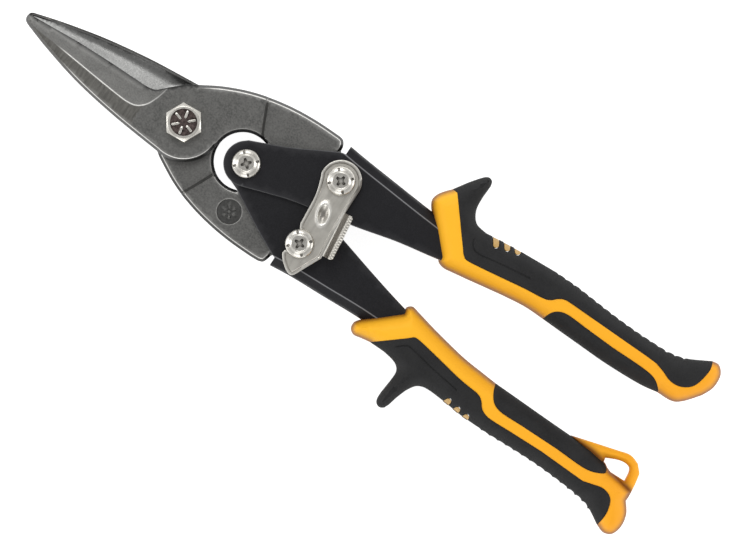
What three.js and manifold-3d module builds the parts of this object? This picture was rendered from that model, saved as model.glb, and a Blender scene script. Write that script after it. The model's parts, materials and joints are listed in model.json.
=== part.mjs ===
// Compound-action aviation snips, 250 mm long, lying flat with the jaws closed and the latch hooked.
// Units are millimetres. X runs from the jaw tips to the grips, Y points to the upper handle and Z is up.
// The origin is on the main pivot's axis, in the plane that the back of the tool rests on.
import * as THREE from "three";
import { mergeVertices } from "three/addons/utils/BufferGeometryUtils.js";
import Module from "manifold-3d";

const wasm = await Module();
wasm.setup();

// ---- driving dimensions ----

// Height of the shear plane, where the two blades meet. All heights below are counted from it.
const SHEAR_Z = 10.5;

// Pivots of the four-bar linkage: blade to blade, handle to handle, and each blade to its handle.
const MAIN_PIVOT = [0, 0];
const FULCRUM = [24, 0];
const LINK_X = 52.4;
const LINK_Y = 12;
const UPPER_LINK = [LINK_X, LINK_Y];
const LOWER_LINK = [LINK_X, -LINK_Y];

// Blades.
const BLADE_GAP = 0.1; // half the gap between the two blades
const HUB_TOP = 5;
const TIP_TOP = 2.6;
const TIP_X = -62;
const TAPER_START_X = -14; // the jaws thin from here to the tip
const RIDGE_TIP_Y = 0.45; // ridge of the bevel on each jaw's outer face, at the tip
const RIDGE_ANGLE = 5;
const RIDGE_LENGTH = 46;
const BEVEL_SLOPE = 0.36;
const BADGE_CENTRE = [27.8, -15.9]; // round recess stamped in the rear blade's tang
const BADGE_R = 4.1;
const BADGE_DEPTH = 0.5;
const TANG_HALF = 2.8;
const HUB_R = 12.6;
const WINDOW_CENTRE = [22.5, 0]; // round window between the tangs, where the handle noses turn
const WINDOW_R = 9.4;
const BOSS_R = 6.6;
const BOSS_HALF = 4.65; // the upper tang's boss fills the wider channel of the upper handle
const JOGGLE_RUN = 3.5; // length of the ramp from the hub's level to the tang's

// Handles, folded from sheet: the lower one's cheeks turn inside the upper one's.
const SHEET = 1.7;
const LOWER_INSIDE = 2.95;
const UPPER_INSIDE = 4.8;
const LOWER_OUTSIDE = LOWER_INSIDE + SHEET;
const UPPER_OUTSIDE = UPPER_INSIDE + SHEET;
const NOSE_R = 7.4;

// Screws, nuts and the pivot bolt.
const SHANK_R = 2.2;
const RUNNING_GAP = 0.1;
const OPEN_PIVOT_R = 2.6; // the lower tang's hole has play, which lets the closed linkage turn
const CUT_REACH = 15; // a through cut runs this far each way from the shear plane
const SCREW_HEAD_R = 4.7;
const SCREW_HEAD_H = 2.2;
const SCREW_END = -SHEAR_Z + 0.3; // the two long screws end just clear of the resting plane
const NUT_FLATS = 8;
const NUT_H = 3.4;
const NUT_COLLAR_H = 0.8;
const STACK_GAP = 0.1;
const CROSS_HALF = 1.8; // cross recess in a screw's head
const CROSS_DEPTH = 1.4;
const CROSS_ANGLES = [12, 102];
const BOLT_R = 3.2;
const BOLT_FLATS = 11;
const HEX_TURN = 4; // degrees that a corner lies off +X
const BOLT_HEAD_H = 4;
const BOLT_RECESS = 0.6; // the head's dished top, with six raised bars
const BOLT_RECESS_R = 4.4;
const BOLT_BAR_ANGLE = -18;
const BOLT_BAR_START = 1.4; // from the bolt's axis
const BOLT_BAR_LENGTH = 2.5;
const BOLT_BAR_WIDTH = 0.8;
const BOLT_BAR_H = 0.4;
const BOLT_NUT_H = 4;
const WASHER_H = 0.8;
const WASHER_R = 6.5;

// Latch.
const LATCH_WASHER_H = 0.5;
const LATCH_WASHER_R = 5.6;
const LATCH_EYE_R = 6.8;
const LATCH_T = 1.5;
const LATCH_LOW = UPPER_OUTSIDE + LATCH_WASHER_H + 2 * STACK_GAP;
const LATCH_TOP = LATCH_LOW + LATCH_T;
const TAB_ROOT = [58.8, 4.1];
const TAB_LENGTH = 15.2;
const TAB_HEADING = -83; // degrees from +X

// Return spring: a double-leg torsion spring round the fulcrum's sleeve.
const WIRE_R = 0.55;
const WIRE_STEPS = 76;
const COIL_R = 5.1;
const COIL_TURNS = 2.5;
const COIL_PITCH = 1.3;
const SLEEVE_R = 4;
const SPRING_HOLE_R = 0.95;
const LEG_END = [44, 5.4]; // where the upper leg turns down into its cheek; the lower leg mirrors it

// Grips: an orange core moulded over the steel, with black overmoulded panels.
const PANEL_HALF = 10.5;
const CORE_HALF = 10.2;
const MOULD_GAP = 0.3;
const CORE_WALL = 1.1;
const GRIP_BEVEL = 1.2;
const LOOP_HALF = 4.5; // the hanging loop is thinner than the grip
const PILL_R = 0.95;
const SEAM_OVERRUN = 3; // seams are lengthened this far past the grip's outline
const FAR = 60; // well outside the tool in Y

// ---- outlines and solids ----

const line = (...points) => points.map(([x, y]) => new THREE.Vector2(x, y));

const curve = (steps, ...points) => new THREE.SplineCurve(line(...points)).getPoints(steps);

// Points round a centre, from one angle to another in degrees, either way round.
function arc([cx, cy], radius, from, to, steps = 12) {
  return Array.from({ length: steps + 1 }, (_, i) => {
    const angle = THREE.MathUtils.degToRad(from + ((to - from) * i) / steps);
    return new THREE.Vector2(cx + radius * Math.cos(angle), cy + radius * Math.sin(angle));
  });
}

// Joins stretches into one closed loop and drops points that repeat.
function loop(...stretches) {
  const points = stretches.flat();
  return points.filter((p, i) => p.distanceTo(points[(i + 1) % points.length]) > 0.02);
}

// Moves each point of a closed loop or an open run sideways: positive is outwards on an anticlockwise loop.
function offset(points, distance, closed = true) {
  const last = points.length - 1;
  return points.map((p, i) => {
    const before = points[i > 0 ? i - 1 : closed ? last : 0];
    const after = points[i < last ? i + 1 : closed ? 0 : last];
    const inwards = p.clone().sub(before).normalize();
    const onwards = after.clone().sub(p).normalize();
    const along = inwards.add(onwards).normalize();
    return new THREE.Vector2(p.x + along.y * distance, p.y - along.x * distance);
  });
}

const reversed = (points) => [...points].reverse();

function solid(geometry) {
  geometry.deleteAttribute("normal");
  geometry.deleteAttribute("uv");
  const merged = mergeVertices(geometry, 1e-4);
  return new wasm.Manifold(
    new wasm.Mesh({
      numProp: 3,
      vertProperties: merged.attributes.position.array,
      triVerts: new Uint32Array(merged.index.array),
    }),
  );
}

// A flat plate between two heights counted from the shear plane, with its edges bevelled if asked.
function plate(points, low, high, bevel = 0, holes = []) {
  const shape = new THREE.Shape(points);
  shape.holes = holes.map((hole) => new THREE.Path(hole));
  const geometry = new THREE.ExtrudeGeometry(shape, {
    depth: high - low - 2 * bevel,
    bevelEnabled: bevel > 0,
    bevelThickness: bevel,
    bevelSize: bevel,
    bevelOffset: -bevel,
    bevelSegments: 2,
  });
  return solid(geometry.translate(0, 0, SHEAR_Z + low + bevel));
}

// A round piece about a vertical axis. Its profile goes anticlockwise and lists [radius, height].
function turned([cx, cy], profile, sides = 32) {
  const geometry = new THREE.LatheGeometry(line(...profile), sides);
  geometry.rotateX(Math.PI / 2).translate(cx, cy, SHEAR_Z);
  return solid(geometry);
}

const disc = (centre, radius, low, high, sides = 32) =>
  turned(centre, [[0, low], [radius, low], [radius, high], [0, high]], sides);

const ring = (centre, inner, outer, low, high, sides = 32) =>
  turned(centre, [[inner, low], [outer, low], [outer, high], [inner, high], [inner, low]], sides);

const hole = (centre, radius, sides = 24) => disc(centre, radius, -CUT_REACH, CUT_REACH, sides);

const boltHole = () => hole(MAIN_PIVOT, BOLT_R + RUNNING_GAP, 32);

const screwHole = (centre) => hole(centre, SHANK_R + RUNNING_GAP);

// A prism along a level direction, in degrees. Its profile lists [distance to the left, height from the
// start], and pitch is how much it climbs for each millimetre along.
function prism(profile, [x, y, height], direction, length, pitch = 0) {
  const heading = THREE.MathUtils.degToRad(direction);
  const along = new THREE.Vector3(Math.cos(heading), Math.sin(heading), pitch);
  const left = new THREE.Vector3(-Math.sin(heading), Math.cos(heading), 0);
  const up = new THREE.Vector3(0, 0, 1);
  const geometry = new THREE.ExtrudeGeometry(new THREE.Shape(line(...profile)), {
    depth: length,
    bevelEnabled: false,
  });
  const place = new THREE.Matrix4().makeBasis(left, up, along);
  return solid(geometry.applyMatrix4(place.setPosition(x, y, SHEAR_Z + height)));
}

// A round wire along a list of [x, y, height] points.
function wire(points, radius, steps) {
  const path = new THREE.CatmullRomCurve3(
    points.map(([x, y, z]) => new THREE.Vector3(x, y, SHEAR_Z + z)),
    false,
    "centripetal",
  );
  const section = new THREE.Shape(arc([0, 0], radius, 0, 315, 7));
  return solid(new THREE.ExtrudeGeometry(section, { steps, extrudePath: path, bevelEnabled: false }));
}

// ---- materials ----

const finish = (color, roughness, metalness) =>
  new THREE.MeshStandardMaterial({ color, roughness, metalness });
const BLADE_STEEL = finish(0x6f6f6d, 0.45, 0.9);
const HANDLE_BLACK = finish(0x262629, 0.45, 0.3);
const NICKEL = finish(0xc8c3b9, 0.25, 1);
const LATCH_NICKEL = finish(0xa5a298, 0.35, 1);
const SPRING_STEEL = finish(0x8a8a8c, 0.3, 1);
const GRIP_ORANGE = finish(0xfdb42e, 0.5, 0);
const GRIP_BLACK = finish(0x303030, 0.75, 0);

const snips = new THREE.Group();

function add(name, made, material) {
  const { vertProperties, triVerts } = made.getMesh();
  const geometry = new THREE.BufferGeometry()
    .setAttribute("position", new THREE.BufferAttribute(vertProperties, 3))
    .setIndex(new THREE.BufferAttribute(triVerts, 1));
  geometry.computeVertexNormals();
  const piece = new THREE.Mesh(geometry, material);
  piece.name = name;
  snips.add(piece);
}

// ---- blades ----

// The front blade has the lower jaw, in front of the shear plane, and the tang of the upper handle.
function frontBladeOutline() {
  return loop(
    curve(5, [-61.1, 1.4], [-61.2, 0.8], [-61, 0], [-60.4, -0.8], [-59.2, -1.4]),
    curve(12, [-50, -4.4], [-36, -8.05], [-20, -10.6], [-2.5, -12.35]),
    arc(MAIN_PIVOT, HUB_R, -98, -3, 14),
    arc(WINDOW_CENTRE, WINDOW_R, 183, 70, 14),
    line([47.6, 7]),
    arc(UPPER_LINK, BOSS_R, -130, 50, 14),
    line([52, 18.6], [47.7, 19.3]),
    curve(5, [47, 20.2], [46.7, 22], [45.6, 23.5], [44, 23.9]),
    curve(12, [36, 24], [28, 23.5], [20, 22.2], [12, 20], [4, 16.6], [-2.5, 12.9]),
    curve(8, [-6, 10.6], [-10, 7], [-13.5, 3.8], [-17, 3.1]),
    line([-30, 3.2], [-42, 3], [-58, 2], [-60.8, 1.8]),
  );
}

// The rear blade has the upper jaw, behind the shear plane, and the tang of the lower handle.
function rearBladeOutline() {
  return loop(
    line([-61.1, 1.4], [-60.6, 0.9], [-50, 0.3], [-36, -0.2], [-20, -0.4], [-16.5, -0.8]),
    curve(8, [-14, -2.2], [-11, -5.2], [-7, -9.4], [-2, -12.6]),
    curve(12, [0, -14], [8, -18.2], [16, -21], [24, -22.8], [32, -23.8], [40, -24.1]),
    curve(5, [44, -24], [45.6, -23.4], [46.3, -22], [46.7, -20.4]),
    line([47.4, -19.4], [52, -18.6]),
    arc(LOWER_LINK, BOSS_R, -50, 130, 14),
    line([47.6, -7]),
    arc(WINDOW_CENTRE, WINDOW_R, -70, -183, 14),
    arc(MAIN_PIVOT, HUB_R, 3, 98, 14),
    curve(12, [-2.5, 12.75], [-20, 11.2], [-36, 8.8], [-50, 5.7], [-59.2, 3.15]),
    curve(4, [-60.2, 2.8], [-60.9, 2.2], [-61.1, 1.5]),
  );
}

// A blade's levels from the side: it thins to its tip, keeps the hub to one side of the shear plane, and
// steps to the middle for the tang. The crease is the line across the blade where the step starts, and side
// is 1 for the front blade and -1 for the rear one.
function bladeLevels(side, [creaseX, creaseY], creaseAngle) {
  const step = [
    [-100, BLADE_GAP],
    [0, BLADE_GAP],
    [JOGGLE_RUN, -TANG_HALF],
    [100, -TANG_HALF],
    [100, TANG_HALF],
    [JOGGLE_RUN, TANG_HALF],
    [0, HUB_TOP],
    [-100, HUB_TOP],
  ];
  const taper = [
    [TIP_X, -HUB_TOP],
    [90, -HUB_TOP],
    [90, HUB_TOP],
    [TAPER_START_X, HUB_TOP],
    [TIP_X, TIP_TOP],
  ];
  const facing = (profile) => profile.map(([run, height]) => [run, side * height]);
  const across = creaseAngle - 90;
  const heading = THREE.MathUtils.degToRad(across);
  const start = [creaseX - 90 * Math.cos(heading), creaseY - 90 * Math.sin(heading), 0];
  return prism(facing(step), start, across, 180).intersect(
    prism(facing(taper), [0, 90, 0], -90, 180),
  );
}

// Slopes a jaw's outer face down to its cutting edge, from a ridge along the jaw.
function jawBevel(side) {
  const profile = [[0, 0], [12, -12 * BEVEL_SLOPE], [12, 8], [0, 8]].map(([x, z]) => [side * x, side * z]);
  const climb = (HUB_TOP - TIP_TOP) / (TAPER_START_X - TIP_X);
  const start = [TIP_X, -side * RIDGE_TIP_Y, side * TIP_TOP];
  return prism(profile, start, -side * RIDGE_ANGLE, RIDGE_LENGTH, side * climb);
}

function frontBlade() {
  return plate(frontBladeOutline(), -TANG_HALF, HUB_TOP)
    .intersect(bladeLevels(1, [22.4, 11], 24.5))
    .subtract(jawBevel(1))
    .add(disc(UPPER_LINK, BOSS_R - 0.4, -BOSS_HALF, BOSS_HALF, 28))
    .subtract(boltHole())
    .subtract(screwHole(UPPER_LINK));
}

function rearBlade() {
  return plate(rearBladeOutline(), -HUB_TOP, TANG_HALF)
    .intersect(bladeLevels(-1, [16, -9.5], -25.2))
    .subtract(jawBevel(-1))
    .subtract(boltHole())
    .subtract(hole(LOWER_LINK, OPEN_PIVOT_R))
    .subtract(disc(BADGE_CENTRE, BADGE_R, TANG_HALF - BADGE_DEPTH, CUT_REACH, 28));
}

// ---- handles ----

// The far stretch of each handle is hidden in its grip. Runs are listed from the nose outwards.
const UPPER_INNER_EDGE = curve(
  18, [27.4, -6.7], [36, -3.9], [44, -1.6], [63, 2.1], [78, 5.7], [92, 8.2],
  [110, 12], [130, 13.6], [160, 14],
);
const UPPER_OUTER_EDGE = curve(
  16, [49, 23.1], [56, 22.3], [68, 21.2], [82, 20], [96, 19.2], [110, 19.8], [130, 21.3], [160, 20.8],
);
const LOWER_INNER_EDGE = curve(
  14, [64, -3.4], [78, -7.3], [91, -10.6], [110, -14.8], [130, -17.5], [160, -18.6],
);
const LOWER_OUTER_EDGE = curve(
  16, [48.1, -23.1], [56, -22.4], [68, -22], [82, -21.5], [96, -22], [110, -23.8], [130, -26], [160, -26.2],
);

function upperHandleOutline() {
  return loop(
    arc(FULCRUM, NOSE_R, 125, 285, 15),
    UPPER_INNER_EDGE,
    reversed(UPPER_OUTER_EDGE),
    line([49, 20.1]),
    curve(8, [46.6, 19.4], [40, 15.9], [32, 11.7], [20.5, 6.7]),
  );
}

function lowerHandleOutline() {
  return loop(
    arc(FULCRUM, NOSE_R, 65, 235, 16),
    curve(8, [26, -8.6], [32, -12], [40, -16.4], [46.7, -19.7]),
    line([48.1, -20.2]),
    LOWER_OUTER_EDGE,
    reversed(LOWER_INNER_EDGE),
  );
}

// Everything on the inner side of a handle's web, a gap clear of it.
function insideWeb(outerEdge, side, gap = 0) {
  const webInside = offset(outerEdge, side * (SHEET + gap), false);
  const webStart = webInside[0];
  return loop(
    line([0, -side * FAR], [180, -side * FAR], [180, webInside.at(-1).y]),
    reversed(webInside),
    line([webStart.x - 1, webStart.y], [webStart.x - 1, side * FAR], [0, side * FAR]),
  );
}

// A folded channel: two cheeks joined by the web along the outer edge, open along the inner edge.
function channel(outline, outerEdge, inside, side) {
  const room = plate(insideWeb(outerEdge, side), -inside, inside);
  return plate(outline, -inside - SHEET, inside + SHEET).subtract(room);
}

// The hole in a handle's rear cheek that takes the end of the spring's leg.
const springHole = (side) => disc([LEG_END[0], side * LEG_END[1]], SPRING_HOLE_R, -CUT_REACH, 0, 16);

function upperHandle() {
  return channel(upperHandleOutline(), UPPER_OUTER_EDGE, UPPER_INSIDE, 1)
    .subtract(screwHole(FULCRUM))
    .subtract(screwHole(UPPER_LINK))
    .subtract(springHole(1));
}

function lowerHandle() {
  return channel(lowerHandleOutline(), LOWER_OUTER_EDGE, LOWER_INSIDE, -1)
    .subtract(screwHole(FULCRUM))
    .subtract(screwHole(LOWER_LINK))
    .subtract(springHole(-1));
}

// ---- fasteners ----

const hexagon = (centre, flats) => arc(centre, flats / Math.sqrt(3), HEX_TURN, HEX_TURN + 300, 5);

// A hexagon with its corners turned off at one end.
function hexPiece(centre, flats, low, high, chamferTop) {
  const corner = flats / Math.sqrt(3);
  const face = flats / 2 - 0.1;
  const edge = (corner - face) * 0.6;
  const profile = chamferTop
    ? [[0, low], [corner + 1, low], [corner, high - edge], [face, high], [0, high]]
    : [[0, low], [face, low], [corner, low + edge], [corner + 1, high], [0, high]];
  return plate(hexagon(centre, flats), low, high).intersect(turned(centre, profile, 36));
}

function panScrew(centre, underHead, end) {
  const top = underHead + SCREW_HEAD_H;
  const head = turned(centre, [
    [0, end], [SHANK_R, end], [SHANK_R, underHead], [SCREW_HEAD_R, underHead],
    [SCREW_HEAD_R, top - 1.1], [SCREW_HEAD_R - 0.5, top - 0.4], [SCREW_HEAD_R - 1.5, top], [0, top],
  ]);
  return CROSS_ANGLES.reduce((made, angle) => {
    const heading = THREE.MathUtils.degToRad(angle);
    const start = [
      centre[0] - CROSS_HALF * Math.cos(heading),
      centre[1] - CROSS_HALF * Math.sin(heading),
      top,
    ];
    const groove = [[-0.5, -CROSS_DEPTH], [0.5, -CROSS_DEPTH], [0.6, 1], [-0.6, 1]];
    return made.subtract(prism(groove, start, angle, 2 * CROSS_HALF));
  }, head);
}

// A lock nut with its plain end towards the tool and a collar at its far end.
function lockNut(centre, seat) {
  const end = seat - NUT_H;
  return hexPiece(centre, NUT_FLATS, end + NUT_COLLAR_H, seat, false)
    .add(disc(centre, NUT_FLATS / 2 - 0.5, end, seat - 1, 24))
    .subtract(screwHole(centre));
}

function pivotBolt() {
  const seat = HUB_TOP + STACK_GAP;
  const top = seat + BOLT_HEAD_H;
  const half = BOLT_BAR_WIDTH / 2;
  const section = [[-half, -half], [half, -half], [half, BOLT_BAR_H], [-half, BOLT_BAR_H]];
  const bars = Array.from({ length: 6 }, (_, i) => {
    const direction = BOLT_BAR_ANGLE + 60 * i;
    const [start] = arc(MAIN_PIVOT, BOLT_BAR_START, direction, direction, 1);
    return prism(section, [start.x, start.y, top - BOLT_RECESS], direction, BOLT_BAR_LENGTH);
  });
  const head = hexPiece(MAIN_PIVOT, BOLT_FLATS, seat, top, true)
    .subtract(disc(MAIN_PIVOT, BOLT_RECESS_R, top - BOLT_RECESS, top + 1))
    .add(disc(MAIN_PIVOT, BOLT_R, -SHEAR_Z, seat + 1));
  return bars.reduce((made, bar) => made.add(bar), head);
}

function pivotNut() {
  const seat = -HUB_TOP - WASHER_H - 2 * STACK_GAP;
  return hexPiece(MAIN_PIVOT, BOLT_FLATS, seat - BOLT_NUT_H, seat, false).subtract(boltHole());
}

function pivotWasher() {
  const high = -HUB_TOP - STACK_GAP;
  return ring(MAIN_PIVOT, BOLT_R + RUNNING_GAP, WASHER_R, high - WASHER_H, high);
}

function fulcrumSleeve() {
  const half = LOWER_INSIDE - STACK_GAP;
  return ring(FULCRUM, SHANK_R + RUNNING_GAP, SLEEVE_R, -half, half, 28);
}

function latchWasher() {
  const low = UPPER_OUTSIDE + STACK_GAP;
  return ring(UPPER_LINK, SHANK_R + RUNNING_GAP, LATCH_WASHER_R, low, low + LATCH_WASHER_H, 28);
}

// ---- return spring ----

// One leg comes in over the top of the coil, and the other leaves under it. Each leg's end is bent back into
// a hole in the rear cheek of its own handle.
function returnSpring() {
  const [cx, cy] = FULCRUM;
  const rise = (COIL_TURNS * COIL_PITCH) / 2;
  const [endX, endY] = LEG_END;
  const perTurn = 12;
  const turns = Array.from({ length: COIL_TURNS * perTurn + 1 }, (_, i) => {
    const angle = Math.PI / 2 + (2 * Math.PI * i) / perTurn;
    const height = rise - (COIL_PITCH * i) / perTurn;
    return [cx + COIL_R * Math.cos(angle), cy + COIL_R * Math.sin(angle), height];
  });
  return wire(
    [
      [endX, endY, -UPPER_OUTSIDE + 0.3],
      [endX, endY, -1],
      [endX, endY, rise - 1.2],
      [endX - 1.2, endY, rise],
      [endX - 8, endY - 0.1, rise],
      ...turns,
      [endX - 8, -endY + 0.1, -rise],
      [endX - 1, -endY, -rise],
      [endX, -endY, -rise - 0.9],
      [endX, -endY, -LOWER_OUTSIDE + 0.2],
    ],
    WIRE_R,
    WIRE_STEPS,
  );
}

// ---- latch ----

// The plate turns on the upper link's screw. Its hooked end catches the neck of the lower link's screw, and
// a thumb tab is bent up along its edge.
function latch() {
  const outline = loop(
    arc(UPPER_LINK, LATCH_EYE_R, 0, 190, 14),
    curve(6, [46.3, 9.6], [48, 4], [48.7, -3], [49, -6.4]),
    line([49.8, -8], [51, -8.4]),
    curve(5, [54.2, -8.9], [55.4, -11], [55.3, -13.6], [53, -15.3], [49.5, -16.2]),
    curve(7, [49.3, -17.4], [50.6, -19.2], [53, -21.2], [55, -22], [56.4, -21.2], [58, -18], [60.8, -12.2]),
    curve(5, [60.3, -9], [59.6, -2], [59.3, 4], [59.2, 12]),
  );
  const tab = [
    [-0.8, 0], [0.9, 0.2], [2.5, 4.5], [3.7, 4.9], [3.7, 5.9], [1.8, 5.5], [0.2, 1.4], [-0.8, 1.4],
  ];
  return plate(outline, LATCH_LOW, LATCH_TOP)
    .add(prism(tab, [...TAB_ROOT, LATCH_LOW], TAB_HEADING, TAB_LENGTH))
    .subtract(screwHole(UPPER_LINK));
}

// ---- grips ----

// Each grip's outline is split where its colours change. From the collar round, rim is the orange inner rim,
// palm the inner panel's rim, tail the orange end and back the outer panel's rim. seam parts orange from the
// outer panel, and palmSeam parts it from the inner panel.
const UPPER_GRIP = {
  rim: [
    ...curve(8, [83.7, 29.6], [82, 27.7], [80.5, 25.4], [80.1, 23.2], [81, 21.3], [82.4, 19.7]),
    ...curve(6, [92.2, 9.2], [92.6, 7.9], [94, 7.1], [95.8, 6.9], [98, 7.2]),
    ...curve(6, [104, 8.1], [116, 10], [124, 10.9], [130.9, 10.8]),
  ],
  palm: curve(8, [130.9, 10.8], [145, 10.3], [156, 10], [168, 10.4], [174.6, 11.4]),
  tail: [
    ...curve(7, [174.6, 11.4], [180, 11.6], [183.2, 13.7], [187.1, 18.5]),
    ...curve(7, [187.1, 18.5], [188.8, 22.5], [188.6, 27], [186.4, 29.6], [183.9, 29.5]),
  ],
  back: [
    ...curve(5, [183.9, 29.5], [178, 26.3], [174.7, 24.9], [170, 24]),
    ...curve(5, [160, 23.9], [150, 24.3], [135, 25.5]),
    ...curve(4, [126, 25.7], [110, 24.8], [100.5, 23.8]),
    ...curve(4, [100.5, 23.8], [96.3, 24.7], [93.8, 28.3], [93.3, 33]),
    ...curve(6, [93.5, 37.1], [93, 38.7], [91.8, 39.3], [90.5, 38.8], [89, 37.2], [86.8, 34.3]),
    ...line([83.7, 29.6]),
  ],
  seam: [
    ...line([83.7, 29.6], [85.6, 29.4], [98, 14.1]),
    ...curve(5, [99.2, 13.1], [101.5, 13], [110, 14.1], [120, 15.5], [126.5, 16.15]),
    ...curve(6, [128.2, 16.45], [129.8, 17.3], [131.4, 18.8], [133.4, 19.7], [136.3, 19.8], [143, 19.6]),
    ...line([166, 19]),
    ...curve(9, [169, 18.8], [172, 17.9], [176, 16.5], [180, 17.1], [183.2, 20], [184.5, 26], [183.9, 29.5]),
  ],
  palmSeam: [
    ...curve(6, [130.9, 10.8], [131.2, 12.4], [132.3, 14.4], [134.3, 15.8], [137.4, 16.3], [143, 16]),
    ...curve(6, [155, 15.4], [166, 15.3], [171, 14.5], [174, 12.4], [174.6, 11.4]),
  ],
  pills: [
    [105.2, 22.3, 103.5, 25],
    [108.8, 23.4, 107.2, 26],
    [112.3, 24.3, 110.7, 26.9],
  ],
  pillRoot: 20.4,
};

const LOWER_GRIP = {
  rim: [
    ...curve(6, [88.5, -26], [85.5, -26.5], [82.8, -26.9], [81, -25.6], [80.8, -23.4], [82.2, -21.5]),
    ...curve(6, [92.6, -12.2], [92.3, -10.2], [93.8, -8.9], [96, -9.3]),
    ...curve(6, [104, -11.2], [116, -13.5], [124, -14.3], [129.6, -14.8]),
  ],
  palm: curve(6, [129.6, -14.8], [140, -15.1], [150, -15.4], [159, -15.6]),
  tail: [
    ...line([159, -15.6], [167, -15.9], [173, -16.8], [175.6, -18.3], [180, -19], [184.9, -20]),
    ...curve(
      12, [185.3, -23.3], [187.8, -26.8], [188.6, -31], [187.5, -34.6], [184.8, -35.8], [181.8, -34.8],
    ),
  ],
  back: [
    ...curve(8, [181.8, -34.8], [176.5, -31.8], [171, -30.5], [160, -29.6], [150, -29.4], [136, -29.8]),
    ...curve(5, [126, -29.6], [114, -28.5], [109.5, -29.2], [107.2, -31.9], [105.7, -35.8], [104.8, -39.3]),
    ...curve(4, [104.1, -41], [102.8, -41.8], [101.3, -41.4], [100.5, -40], [100.4, -37.5]),
    ...curve(4, [100.85, -33], [100.9, -29.6], [99.7, -27.7], [97.5, -26.7], [94, -26.1]),
    ...line([88.5, -26]),
  ],
  seam: [
    ...line([88.5, -26], [98, -18.2]),
    ...curve(5, [99.4, -16.9], [101.5, -16.7], [110, -18.2], [119, -19.9], [126, -20.6]),
    ...curve(6, [127.6, -21.1], [129, -22.3], [130.3, -23.9], [132.1, -24.9], [135, -25.3], [142, -25.1]),
    ...line([154, -24.9], [167, -25.4]),
    ...curve(8, [170, -25.5], [173, -24.7], [177, -23.9], [180.5, -25.5], [182, -30], [181.8, -34.8]),
  ],
  palmSeam: [
    ...curve(6, [129.6, -14.8], [130.2, -17], [131.6, -19.4], [133.6, -21], [136.8, -21.7], [143, -21.6]),
    ...curve(6, [158, -21.6], [168, -21.9], [173, -20.6], [174.7, -19], [172.5, -17], [167, -16.2]),
    ...line([159, -15.6]),
  ],
  pills: [
    [120, -28, 119, -30.6],
    [123.9, -28.7, 123.1, -31.3],
    [127.6, -29.1, 127, -31.6],
  ],
  pillRoot: -25,
};

// The hanging loop, from the inner panel's far end round to the tail.
const HANG_LOOP = [
  ...curve(6, [159, -15.5], [166, -13.5], [174, -11.3], [178.5, -10.2], [182, -11.2]),
  ...curve(6, [184.2, -13.6], [185, -18], [185.3, -23.3], [184, -25], [180, -22]),
  ...line([174, -20]),
];
const HANG_HOLE = [
  ...curve(6, [172.2, -15.4], [175.5, -13.9], [178.2, -13.3], [180.4, -13.8], [181.2, -15.4]),
  ...line([181.5, -18.2], [176.1, -18.3], [172.6, -16.9]),
];

// A core's sleeve starts behind the grip's slanted collar. These points are for the upper grip.
const BEHIND_COLLAR = [[87, 40], [99, 3], [200, 3], [200, 40]];

const slot = ([x0, y0, x1, y1], radius) => {
  const heading = THREE.MathUtils.radToDeg(Math.atan2(y1 - y0, x1 - x0));
  return [
    ...arc([x0, y0], radius, heading + 90, heading + 270, 6),
    ...arc([x1, y1], radius, heading - 90, heading + 90, 6),
  ];
};

// Everything on the far side of a seam, as a closed outline: the seam is lengthened at both ends and closed
// off well outside the grip.
function beyondSeam(seam, shift, farY) {
  const outwards = (end, next) => end.clone().add(end.clone().sub(next).setLength(SEAM_OVERRUN));
  const run = offset(
    [outwards(seam[0], seam[1]), ...seam, outwards(seam.at(-1), seam.at(-2))], shift, false,
  );
  return [...run, ...line([run.at(-1).x, farY], [run[0].x, farY])];
}

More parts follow.
